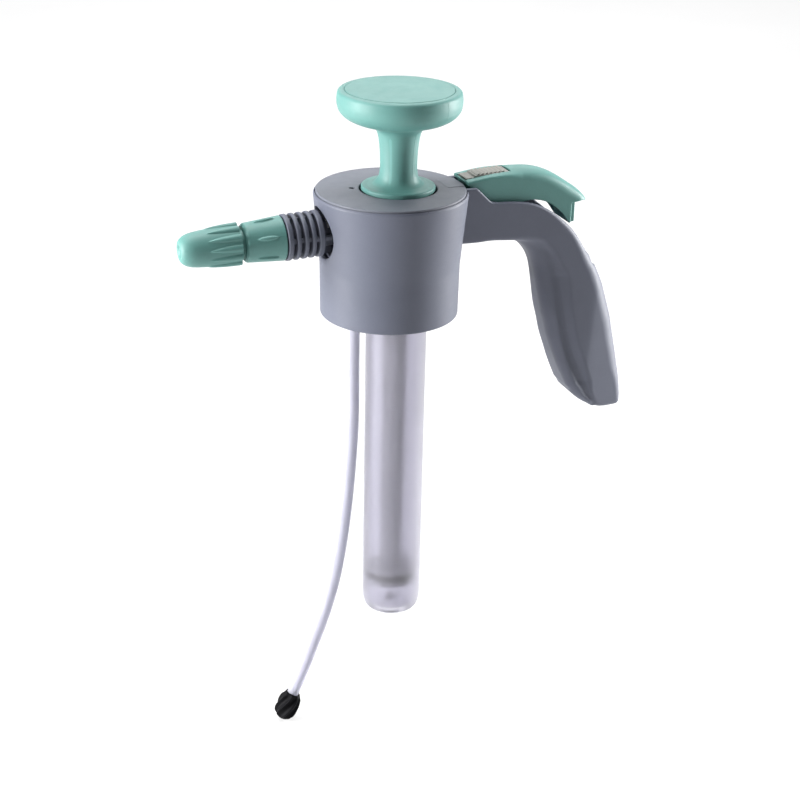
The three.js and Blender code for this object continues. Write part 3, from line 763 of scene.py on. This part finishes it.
def arm():
    """The arm and grip: a broad outer part, a narrower ridge for the fingers and a core that joins
    them, less the side grooves, the channel under the lever, the notch at its end and the plug's seat."""
    heel = rounded([(117.8, -64.4), (126.8, -65.2, 3.6), (126.9, -59)], steps=6)
    ear = rounded([(50, 52.4), (46.4, 53.0, 3), (38.9, 60.4, 1.2), (24, 60.4)], steps=6)
    broad_side = outline(
        spline(ARM_UNDERSIDE[:4] + GROOVE[1:], 8)[:-1] + spline(GRIP_END[3:], 6)[1:-1] + heel[:-1]
        + spline(GRIP_BACK + CREST + CHANNEL_RIM, 8)[:-1] + ear)
    ridge_side = outline(
        [(48, 42)] + spline(ARM_UNDERSIDE[3:] + FINGER_SIDE, 8) + spline(GRIP_END[:4], 8)
        + [(108, -58.5), (104.6, -54), (99.6, -42), (93.8, -24), (90.2, -7), (88.4, 8), (84.5, 23), (70, 40)])
    core_side = outline(
        [(60, 38), (75, 26), (81, 5), (86, -20), (93, -40), (96.4, -48.5)] + spline(GRIP_END, 6)[4:]
        + [(119, -60), (113, -30), (104, -5), (94, 10), (84, 26), (70, 40)])
    arm_edge = spread_values(ARM_EDGE_R)
    ridge_edge = spread_values(RIDGE_EDGE_R)
    groove = curve_distance(spline(GROOVE, 6))
    channel_side = outline([(20, 36.3), (62, 36.4)] + spline([(70, 35.4), (78, 32), (84.5, 25), (89, 15),
        (92.5, 6), (98, 1), (103.4, 5), (104.2, 10), (103.2, 15.4), (102.2, 19.4)], 5)
        + [(101, 30), (94, 52), (70, 72), (20, 72)])
    plug_side = outline([(108.6, -57.2), (118.4, -57.4), (118.8, -74), (108.2, -70)])
    crease_x, crease_z = np.array(CREASE[::-1], float).T
    notch_r = 3.6

    def field(x, y, z):
        away = x - np.interp(z, crease_z, crease_x)
        taper = 0.5 * (away + np.sqrt(away * away + 3))
        half = ARM_HALF - 0.2 * taper * np.clip((16 - z) / 10, 0, 1)
        broad = extruded(broad_side(x, z), y, half, arm_edge(x, z))
        ridge_half = 9.0 + 2.2 * np.clip((16 - z) / 22, 0, 1)
        ridge = extruded(ridge_side(x, z), y, ridge_half, ridge_edge(x, z))
        core = extruded(core_side(x, z), y, np.minimum(half - 2.6, 9.4), 2.6)
        body = soft_min(soft_min(broad, ridge, 2.8), core, 2.0)
        depth = np.hypot(groove(x, z), np.abs(y) - 14.2)
        reach = 4.9 * np.clip((25 - z) / 14, 0, 1) * np.clip((z + 61) / 14, 0, 1)
        body = soft_max(body, 0.8 * reach - depth, 2.2)
        round_end = 0.8 + 4.4 * np.clip((x - 86) / 14, 0, 1)
        channel = extruded(channel_side(x, z), y, ARM_HALF - 2.4, round_end)
        plug = extruded(plug_side(x, z), y, 6.4, 0.6)
        body = soft_max(body, -channel, 0.6)
        body = np.maximum(body, -plug)
        from_notch = np.sqrt(((x - 104.8) / notch_r) ** 2 + (y / 11.3) ** 2 + ((z - 17.2) / notch_r) ** 2)
        body = soft_max(body, (1 - from_notch) * notch_r, 0.6)
        inside_drum = DRUM_R_WAIST - 1.7 + DRUM_FLARE * np.clip(z - DRUM_WAIST_Z, 0, 40) - np.hypot(x, y)
        return np.maximum(body, inside_drum)

    return skin("arm", field, (26, -14, -67), (128, 14, 63), 0.6)


def drum():
    profile = finer(rounded([(DRUM_R_FOOT, 0, 0.8), (DRUM_R_WAIST, DRUM_WAIST_Z, 30),
        (DRUM_R_TOP, DRUM_TOP_Z - 0.9, 1.1), (DRUM_R_TOP - 0.55, DRUM_TOP_Z, 0.35),
        (LID_R + 0.3, DRUM_TOP_Z - 0.1, 0.25), (LID_R + 0.3, LID_SEAT_Z),
        (DRUM_R_TOP - DRUM_WALL - 0.9, LID_SEAT_Z, 0.3), (DRUM_R_WAIST - DRUM_WALL, DRUM_WAIST_Z),
        (DRUM_R_FOOT - DRUM_WALL, 0, 0.6)], steps=6), 6)
    wall = turn("drum", profile, 224)
    window = prism("window", [(24, 36.6), (42, 36.6), (42, 66), (24, 66)], 9.7, 0.4)
    carve(wall, bore(12.6, -6, 9, NOZZLE_PLACE, 96), window)
    return wall


finished(joined("shroud", drum(), arm()), GREY, "head", "head_shroud")

plug = prism("grip_plug", rounded([(109.0, -57.8), (118.0, -58), (118.2, -63.6, 0.6), (113.4, -62.8),
    (108.8, -60.9, 0.6)]), 6.1, 0.5)
finished(plug, GREY, "head", "grip_end_plug")


# ---- lid ----
def lid():
    """The lid's rim is round about the drum and its well about the pump, so the rings between shift."""
    well, flat_r = WELL_R, LID_R - 0.8
    profile = finer(rounded([
        (well, LID_TOP_Z, 0.5), (LID_R, LID_TOP_Z, 0.5), (LID_R, LID_SEAT_Z + 0.3, 0.2),
        (33.1, LID_SEAT_Z + 0.3), (32.7, 54.6, 0.2), (31.3, 54.6, 0.2), (31.3, 58.3), (well + 1.7, 58.3),
        (well + 1.7, 55.8, 0.3), (well, 55.8, 0.3)], steps=5), 1.6)
    span = flat_r - (well + 1.7)
    shifted = [(r, z, PUMP_X * min(1, max(0, (flat_r - r) / span))) for r, z in profile]
    disc = turn("lid_disc", shifted, 224)
    vent = turn("vent", [(0, 50), (1.3, 50), (1.3, LID_TOP_Z - 0.3), (1.5, LID_TOP_Z + 0.05), (1.5, 64),
        (0, 64)], 32, upright(-17.1, 6.1))
    carve(disc, vent)
    tongue = prism("tongue", [(25.6, 60.2), (26.0, 60.72), (34.3, 60.82), (34.6, 60.6), (34.6, 60.2)], 6.9,
        0.12)
    return joined("lid", disc, tongue)


finished(lid(), LID_GREY, "head", "head_lid")


# ---- air pump ----
def knob():
    under = spline([(9.6, 84.6), (10.6, 88.0), (13.0, 90.3), (17.4, 91.9), (22.4, 93.4), (26.2, 95.6),
        (28.3, 98.2), (28.95, 100.6)], 5)
    under += [(29.05, 101.6), (29.1, 102.8), (29.0, 103.8)]
    neck = spline([(12.4, 63.0), (10.6, 64.2), (9.3, 66.4), (8.75, 69.4), (8.7, 73), (8.95, 79),
        (9.6, 84.6)], 5)
    foot = rounded([(11.2, 50.7), (11.2, 59.7, 0.3), (17.4, 59.7, 0.7), (17.4, 62.35, 0.9),
        (14.6, 62.5, 1.5), (12.4, 63.0)], steps=5)
    top = rounded([(29.0, 103.8), (28.6, 106.9, 3.0), (25.45, 107.15, 0.3), (25.45, 105.0), (24, 105.0, 0.3),
        (24, 99.2, 2), (7, 93.8, 1), (6.2, 59.7), (3.4, 57.7), (3.4, 51.3), (6.1, 51.3), (6.1, 50.7),
        (11.2, 50.7)], steps=5)[1:-1]
    profile = finer(foot[:-1] + neck[:-1] + under[:-1] + top, 3)
    parting = math.radians(-62)
    angles = np.sort(np.concatenate([
        np.arange(180) * 2 * math.pi / 180,
        *[(np.arange(-6, 7) * 0.0022 + parting + side) % (2 * math.pi) for side in (0, math.pi)]]))

    def seam(r, z, angle):
        """A fine raised line where the halves of the mould meet."""
        if z < 64 or r < 8 or (z > 98 and r < 25.46):
            return r
        off = (angle - parting) % math.pi
        return r + 0.07 * np.exp(-(np.minimum(off, math.pi - off) * r / 0.11) ** 2)

    body = turn("knob_turned", profile, place=PUMP_PLACE, warp=seam, angles=angles)
    lugs = [prism("lug", rounded([(s * 9, 51.2, 0.3), (s * 14.2, 51.2, 0.5), (s * 14.2, 54.9, 0.5),
        (s * 9, 54.9, 0.3)]), 3.8, 0.4, place=PUMP_PLACE) for s in (1, -1)]
    return joined("knob_mushroom", body, *lugs)


finished(knob(), GREEN, "knob", "knob_body")
knob_top = turn("knob_top_disc", [*[(r, 107.5 - 0.22 * (r / 25.3) ** 2) for r in (0, 5, 10, 15, 20, 23.5)],
    *rounded([(23.5, 107.31), (25.36, 107.26, 0.4), (25.36, 105.2), (22.6, 105.2), (0, 105.2)],
    steps=5)[1:]], 224, PUMP_PLACE)
finished(knob_top, GREEN, "knob", "knob_cap")


def cylinder():
    top = DECK_TOP_Z
    low = CYLINDER_BOTTOM_Z - 1.5
    profile = finer(rounded([(0, low + 1.8), (3.2, low + 1.8, 0.3), (3.2, low, 0.4), (13.1, low, 2.6),
        (14.6, low + 5, 14), (14.75, low + 20), (14.75, top + 1.5, 0.4), (17.4, top + 1.5, 0.3),
        (17.4, top + 3.2, 0.3), (12.9, top + 3.2, 0.3), (12.9, low + 12), (12.7, low + 3.6, 1.5),
        (0, low + 3.6)], steps=5), 8, closed=False)
    return turn("cylinder", profile, 128, upright(PUMP_X + 0.3, 0))


finished(cylinder(), MILKY, "head", "pump_cylinder")


def ring_section(radius, thickness, z, steps=12):
    return [(radius + thickness * math.cos(t), z + thickness * math.sin(t))
            for t in np.arange(steps) * 2 * math.pi / steps]


finished(turn("cylinder_seal_ring", ring_section(16, 0.55, DECK_TOP_Z + 0.9), 128, PUMP_PLACE),
         RUBBER, "head", "cylinder_seal")
valve_rubber = turn("check_valve_rubber", rounded([
    (0, -160.5), (2.9, -160.1, 0.2), (2.9, -159.5, 0.2), (0.5, -159.5), (0.5, -156.9), (0.9, -156.5, 0.2),
    (0, -155.7)]), 48, PUMP_PLACE)
finished(valve_rubber, RUBBER, "head", "check_valve")


def guide():
    body = turn("guide", finer(rounded([(6.1, 35.6), (14.6, 35.6), (14.6, 34.5), (17.4, 34.5, 0.3),
        (17.4, 37.6, 0.3), (10.5, 39.6, 0.6), (10.5, 47.4, 0.6), (16.4, 49.8, 0.4), (16.4, 59.2, 0.5),
        (11.6, 59.2, 0.4), (11.6, 55.6), (14.8, 55.6), (14.8, 50.6), (11.6, 50.6), (7.4, 48.4, 0.3),
        (7.4, 38.6), (6.1, 38.6, 0.2)]), 6), 128, PUMP_PLACE)
    carve(body, *[prism("slot", [(s * 4, 54), (s * 14.6, 54), (s * 14.6, 70), (s * 4, 70)], 4.3, 0.3,
        place=PUMP_PLACE) for s in (1, -1)])
    return body


finished(guide(), WHITE, "head", "rod_guide")

rod = turn("rod", finer(rounded([
    (0, PISTON_Z + 5), (2.6, PISTON_Z + 5), (2.6, PISTON_Z + 10.3), (5.8, PISTON_Z + 10.3, 0.5),
    (5.8, 51, 0.4), (3.1, 51), (3.1, 58, 0.4), (0, 58)]), 12, closed=False), 96, PUMP_PLACE)
finished(rod, WHITE, "plunger", "pump_rod")
PISTON_PLACE = Matrix.Translation((PUMP_X, 0, PISTON_Z))
piston = turn("piston", rounded([
    (0, 0), (12.3, 0, 0.5), (12.3, 2.6, 0.2), (10.2, 2.6), (10.2, 6.2), (12.3, 6.2, 0.2), (12.3, 8.4, 0.4),
    (7.6, 10, 0.5), (6.1, 10), (2.9, 10), (2.9, 4.7), (0, 4.7)]), 96, PISTON_PLACE)
finished(piston, WHITE, "plunger", "pump_piston")
piston_ring = turn("piston_ring", rounded([
    (10.5, 2.9), (12.1, 2.9, 0.3), (12.6, 4.4, 0.5), (12.1, 5.9, 0.3), (10.5, 5.9)]), 96, PISTON_PLACE)
finished(piston_ring, RUBBER, "plunger", "piston_seal")


# ---- neck collar, gasket, deck and screws ----
def collar():
    inner, depth, pitch = 25.3, 1.4, 4.6
    rows = np.arange(26.4, 1.5, -0.3)
    profile = rounded([(26.7, 1.5), (26.7, 23.4), (30.3, 23.4, 0.3), (30.3, 26.7, 0.3), (inner, 26.7)])
    profile += [(inner, z) for z in rows] + [(inner, 1.5)]

    def thread(r, z, angle):
        if abs(r - inner) > 1e-6 or z > 26.5 or z < 1.6:
            return r
        phase = (z / pitch - angle / (2 * math.pi)) % 1
        crest = np.clip(1 - np.abs(phase - 0.5) / 0.26, 0, 1)
        fade = np.clip((z - 2.2) / 2, 0, 1) * np.clip((21.5 - z) / 2, 0, 1)
        return r - depth * fade * np.minimum(1, 1.5 * crest)

    return turn("collar", profile, 160, warp=thread)


finished(collar(), WHITE, "head", "neck_collar")
gasket = turn("gasket", rounded([(22.3, 24.7, 0.3), (25.0, 24.7, 0.3), (25.0, 26.7), (22.3, 26.7, 0.3)]), 160)
finished(gasket, RUBBER, "head", "neck_gasket")


def deck():
    plate = turn("deck_plate", rounded([(0, DECK_Z), (30.6, DECK_Z, 0.4), (30.6, DECK_TOP_Z, 0.4),
        (0, DECK_TOP_Z)]), 160)
    tube_place = upright(DIP_X, 0)
    socket = turn("socket", rounded([(0, 15), (4.1, 15, 0.4), (4.1, 28), (0, 28)]), 48, tube_place)
    riser = turn("riser", rounded([(0, 30), (3.2, 30), (3.2, 35.6, 0.3), (0, 35.6)]), 48, tube_place)
    carve(plate, socket, riser, operation="UNION")
    carve(plate, bore(14.95, 20, 40, PUMP_PLACE, 128), bore(3.3, 10, 26.5, tube_place),
        bore(1.8, 10, 50, tube_place, 32), bore(1.1, 20, 40, upright(-11, 16.5), 24))
    return plate


finished(deck(), GREY, "head", "neck_deck")

for number, degrees in enumerate(SCREW_ANGLES, 1):
    spot = upright(SCREW_R * math.cos(math.radians(degrees)), SCREW_R * math.sin(math.radians(degrees)))
    screw = turn(f"screw_{number}", rounded([(0, 21.2), (1.4, 21.2), (1.75, 21.7, 0.3), (1.75, 23.1, 0.2),
        (1.1, 23.1), (1.1, 36), (0, 36)]), 40, spot)
    carve(screw, *[prism("cross", [(-a, 20.9), (a, 20.9), (a, 22.1), (-a, 22.1)], b, 0.02, place=spot)
                   for a, b in ((1.1, 0.26), (0.26, 1.1))])
    finished(screw, STEEL, "head", f"deck_screw_{number}")


# ---- nozzle, in its own frame: +Z is the spray direction ----
def spigot():
    """A pipe with five fins and four webs, clear in the middle for the liquid valve."""
    pipe_r, fin_r, clear_r = 6.4, 10.9, 5.4
    corners = [(2.2, 0.3), (clear_r, 0.3), (clear_r, -4), (pipe_r, -4)]
    for start, width in ((2.1, 2.9), (6.3, 2.1), (9.9, 2.1), (13.6, 2.1), (17.2, 2.5)):
        corners += [(pipe_r, start, 0.3), (fin_r, start, 0.75), (fin_r, start + width, 0.75),
                    (pipe_r, start + width, 0.3)]
    corners += [(pipe_r, 19.9, 0.2), (5, 19.9), (5, 30), (2.2, 30)]
    body = turn("fins", finer(rounded(corners, steps=5), 4), 128, NOZZLE_PLACE)
    half = [(8.7, 17.6, 0.3), (8.9, 7.9), (10.1, 7.6, 0.5), (10.1, -3.6, 0.5), (6.2, -3.6), (6.2, 0.8)]
    other_half = [(-a, *rest) for a, *rest in reversed(half)]
    webs = [prism("web", rounded(other_half[2:] + half + other_half[:2]), 0.85, 0.25,
                  place=NOZZLE_PLACE @ turned((0, 0, 0), degrees, "Z")) for degrees in (0, 90)]
    return joined("spigot", body, *webs)


finished(spigot(), GREY, "head", "nozzle_spigot")


def lens_rib(angle, z, count, phase, low, high, width, radius, height, sharp):
    """Height, at the given angles, of ribs that are lens shaped from outside."""
    along = (z - (low + high) / 2) / ((high - low) / 2)
    if abs(along) >= 1:
        return 0
    step = 2 * math.pi / count
    off = (angle - phase + step / 2) % step - step / 2
    half = 0.5 * width * (1 - along * along) ** 0.75
    across = np.abs(off) * radius / max(half, 1e-6)
    return height * (1 - along * along) ** 0.4 * np.clip(1 - across ** 2, 0, 1) ** sharp


def sleeve():
    rib_count, thread_r, pitch = 6, 6.2, 2.5
    thread_low, thread_high = 39, 49.5
    body = finer(rounded([(5.3, 20.2), (10.55, 20.2, 0.5), (9.15, 37.9, 1.1), (8.0, 38.9, 0.4), (6.3, 38.9)],
        steps=6), 0.45, closed=False)
    thread_rows = [(thread_r, z) for z in np.arange(39.2, 49.4, 0.2)]
    rest = finer(rounded([(thread_r, 49.6), (thread_r, 52.6), (5.4, 52.6), (5.4, 55.6), (thread_r, 55.6),
        (thread_r, 58.5, 0.4), (3.2, 58.5), (3.2, 30.4), (5.3, 30.4)]), 3, closed=False)

    def warp(r, z, angle):
        if 23.4 < z < 34.4 and r > 8:
            return r + lens_rib(angle, z, rib_count, math.radians(-7), 23.9, 33.9, 2.1, 9.9, 0.9, 0.8)
        if abs(r - thread_r) < 1e-6 and thread_low < z < thread_high:
            phase = (z / pitch - angle / (2 * math.pi)) % 1
            crest = np.clip(1 - np.abs(phase - 0.5) / 0.34, 0, 1)
            fade = min(1, (z - thread_low) / 0.8, (thread_high - z) / 1.2)
            return r + 0.75 * fade * np.minimum(1, 1.3 * crest)
        return r

    return turn("sleeve", body + thread_rows + rest, 288, NOZZLE_PLACE, warp=warp)


finished(sleeve(), GREEN, "head", "nozzle_sleeve")


def spray_cap():
    rib_count = 12
    shell = spline([(9.15, 41.5), (9.05, 47), (8.8, 53), (8.45, 58), (7.95, 62.4), (7.2, 65.2), (6.1, 67.2),
        (4.9, 68.25), (3.9, 68.55), (3.2, 68.35), (2.5, 67.85), (1.7, 67.55), (0.75, 67.45)], 6)
    rear = rounded([(7.3, 52), (7.3, 40.9, 0.25), (9.2, 40.9, 0.45), (9.15, 41.5)], steps=5)
    inside = rounded([(0.6, 64.4), (5.3, 64.4), (5.3, 61.6), (7.3, 60.0)])
    profile = finer(rear[:-1] + shell + inside, 0.5)

    def ribs(r, z, angle):
        if r < 7.6 or z > 57:
            return r
        rib = lens_rib(angle, z, rib_count, 0.12, 24.5, 56.2, 3.4, 9.1, 0.95, 0.75)
        return r + rib * min(1, (r - 7.3) / 1.2)

    return turn("spray_cap_shell", profile, 288, NOZZLE_PLACE, warp=ribs)


finished(spray_cap(), GREEN, "spray_cap", "nozzle_cap")
o_ring = turn("nozzle_o_ring", ring_section(6.35, 0.65, 54.1), 96, NOZZLE_PLACE)
finished(o_ring, RUBBER, "head", "nozzle_seal")
orifice = turn("orifice_plate", rounded([(0.5, 61.9), (5.0, 61.9, 0.2), (5.0, 64.1, 0.2), (0.5, 64.1)]), 64,
               NOZZLE_PLACE)
finished(orifice, WHITE, "spray_disc", "orifice_disc")


# ---- thumb lever, its pin and its lock slider ----
LEVER_CREST = [(30, 62.9), (35, 63.05), (44, 64.3), (57, 65.7), (66.5, 65.8), (73.5, 64.8), (79.5, 62.8),
    (85, 59.9), (90.5, 56.3), (96.6, 51.9), (101.3, 46.4), (103, 43)]


def lever():
    """The lever: a skin with an arched top, hollow below, a step at its tail, the valve's finger, the
    slider's bed and the hole for the pin."""
    under = [(64, 50.6), (69, 51.2), (75.5, 49.9), (81, 46.9), (85.6, 43.0)]
    side = outline([(37.4, 50.6)] + spline(under, 6) + [(88.6, 38.8), (89.4, 37.5), (90.4, 37.5),
        (90.4, 47.6), (92.6, 47.8)] + spline([(96, 48.2), (99.2, 47.4), (101.6, 45.9)], 5)
        + [(106, 50), (106, 72), (35.2, 72), (35.2, 61.2), (37.4, 60.3)], pitch=0.3, soften=1)
    strip = outline([(88.4, 50), (88.4, 38.6), (90.6, 37.7), (92.6, 37.9), (92.6, 50)], pitch=0.3, soften=1)
    crest_x, crest_z = np.array(spline(LEVER_CREST, 8)).T
    hollow_side = outline([(42.5, 44), (42.5, 60.8), (57, 62.4), (66, 62.4), (73, 61.3), (78.5, 59.3),
        (84, 56.2), (88.2, 53.2), (88.2, 30), (42.5, 30)], pitch=0.4, soften=1)
    finger = outline([(36, 53), (35.7, 46), (35.7, 42), (38.2, 42), (41, 53)], pitch=0.3, soften=1)

    def field(x, y, z):
        share = np.clip(np.abs(y) / LEVER_HALF, 0, 1.2)
        arch = 0.35 + 2.3 * np.clip((x - 46) / 18, 0, 1) ** 1.5
        height = np.interp(x, crest_x, crest_z) - arch * share ** 2.4
        steep = np.interp(x, [30, 60, 70, 80, 90, 100], [1, 1, 0.98, 0.9, 0.82, 0.72])
        top = (z - height) * steep
        round_top = 0.8 + 1.3 * np.clip((x - 58) / 24, 0, 1)
        tail = (x - (101.6 - 5.6 * share ** 2.2)) * 0.8
        side_wall = np.abs(y) - LEVER_HALF + 0.02 * np.clip(52 - z, 0, 20)
        outside = soft_max(top, side_wall, 1.6 * round_top)
        outside = soft_max(outside, tail, 1.6)
        outside = soft_max(outside, side(x, z), 0.5)
        step = extruded(strip(x, z), y, LEVER_HALF - 1.3, 0.25)
        body = np.minimum(outside, np.maximum(step, top))
        body = np.maximum(body, -extruded(hollow_side(x, z), y, LEVER_HALF - 2, 0.6))
        body = np.minimum(body, extruded(finger(x, z), y, 5, 0.4))
        bed = np.maximum(np.maximum(np.abs(y) - 5.15, x - 58.5), 62.35 - z)
        body = np.maximum(body, -bed)
        pin = 1.8 - np.hypot(x - PIVOT[0], z - PIVOT[2])
        return np.maximum(body, pin)

    return skin("lever", field, (33.5, -10, 36.5), (104, 10, 67.5), 0.42)


finished(lever(), GREEN, "lever", "trigger_lever")
pin = turn("pin", rounded([(0, -10.9), (1.5, -10.9, 0.3), (1.5, 10.9, 0.3), (0, 10.9)]), 48,
    turned(PIVOT, 90, "X"))
finished(pin, STEEL, "head", "trigger_pin")


def slider():
    base = prism("slider_base", rounded([(35.9, 62.6), (35.9, 63.5, 0.25), (40.0, 63.7, 0.3),
        (40.6, 64.5, 0.3), (56.6, 65.1, 0.3), (58.2, 65.1, 0.3), (58.2, 62.6)]), 4.9, 0.4, steps=3)
    tooth_count, pitch, slope = 7, 2.12, 0.037
    teeth = []
    for k in range(tooth_count):
        x = 41.3 + pitch * k
        z = 64.4 + slope * (x - 41)
        tooth = prism("tooth", [(x, z), (x + 0.15, z + 0.3), (x + 1.3, z + 0.85), (x + 1.55, z + 0.85),
            (x + 1.75, z)], 4.5, 0.12)
        smooth(tooth, 15)
        teeth.append(tooth)
    return joined("slider", base, *teeth)


finished(slider(), WARM_GREY, "lock", "lock_slider")

# ---- inner pieces keep their CAD shapes ----
INNER = {
    "valve_body": WHITE, "valve_stem": WHITE, "valve_disc": RUBBER, "valve_spring": STEEL,
    "stem_seal": RUBBER, "valve_link": WHITE, "relief_seat": WHITE, "relief_pin": BLACK,
    "relief_spring": STEEL, "relief_cap": WHITE, "swirl_core": WHITE,
}
for node, material in INNER.items():
    paint(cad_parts[node], material)


# ---- floor and light ----
def floor():
    size = FLOOR_HALF * MM
    mesh = bpy.data.meshes.new("floor")
    mesh.from_pydata([(x, y, CAD_BOX[0].z) for y in (-size, size) for x in (-size, size)], [], [(0, 1, 3, 2)])
    n = Nodes("pale_floor")
    tint = n.mix(n.span(n.noise(3, 3), 0.3, 0.7, 0, 1), (0.29, 0.29, 0.29), (0.31, 0.31, 0.31))
    n.fill(n.shader, {"Base Color": tint, "Roughness": 0.9, "Specular IOR Level": 0.1,
        "Emission Color": (1, 1, 1), "Emission Strength": 0.65})
    mesh.materials.append(n.material)
    placed("floor", mesh)


def soft_light(name, place, towards, size, power):
    """An area light, in metres and watts."""
    data = bpy.data.lights.new(name, "AREA")
    data.shape = "RECTANGLE"
    data.size, data.size_y = size
    data.energy = power
    aim = (Vector(towards) - Vector(place)).to_track_quat("-Z", "Y")
    placed(name, data).matrix_world = Matrix.Translation(place) @ aim.to_matrix().to_4x4()


floor()
world = bpy.data.worlds.new("studio")
world.use_nodes = True
world.node_tree.nodes["Background"].inputs["Color"].default_value = (0.95, 0.97, 1, 1)
world.node_tree.nodes["Background"].inputs["Strength"].default_value = 0.1
bpy.context.scene.world = world
soft_light("key_left", (-1.0, 0.08, 0.12), (0, 0, -0.02), (0.45, 0.8), 28)
soft_light("rim_right", (1.0, -0.02, 0.12), (0.03, 0, -0.02), (0.3, 0.8), 23)
soft_light("over_floor", (0.3, 1.3, 1.9), (0.3, 1.3, 0), (3.2, 2.2), 42)
soft_light("top", (-0.1, 0.3, 1.1), (0, 0.02, 0), (0.7, 0.7), 10)
soft_light("back", (0.73, 1.86, 0.9), (0, 0, 0), (1.8, 0.9), 12)
bpy.context.scene.view_settings.view_transform = "Standard"

bpy.context.view_layer.update()
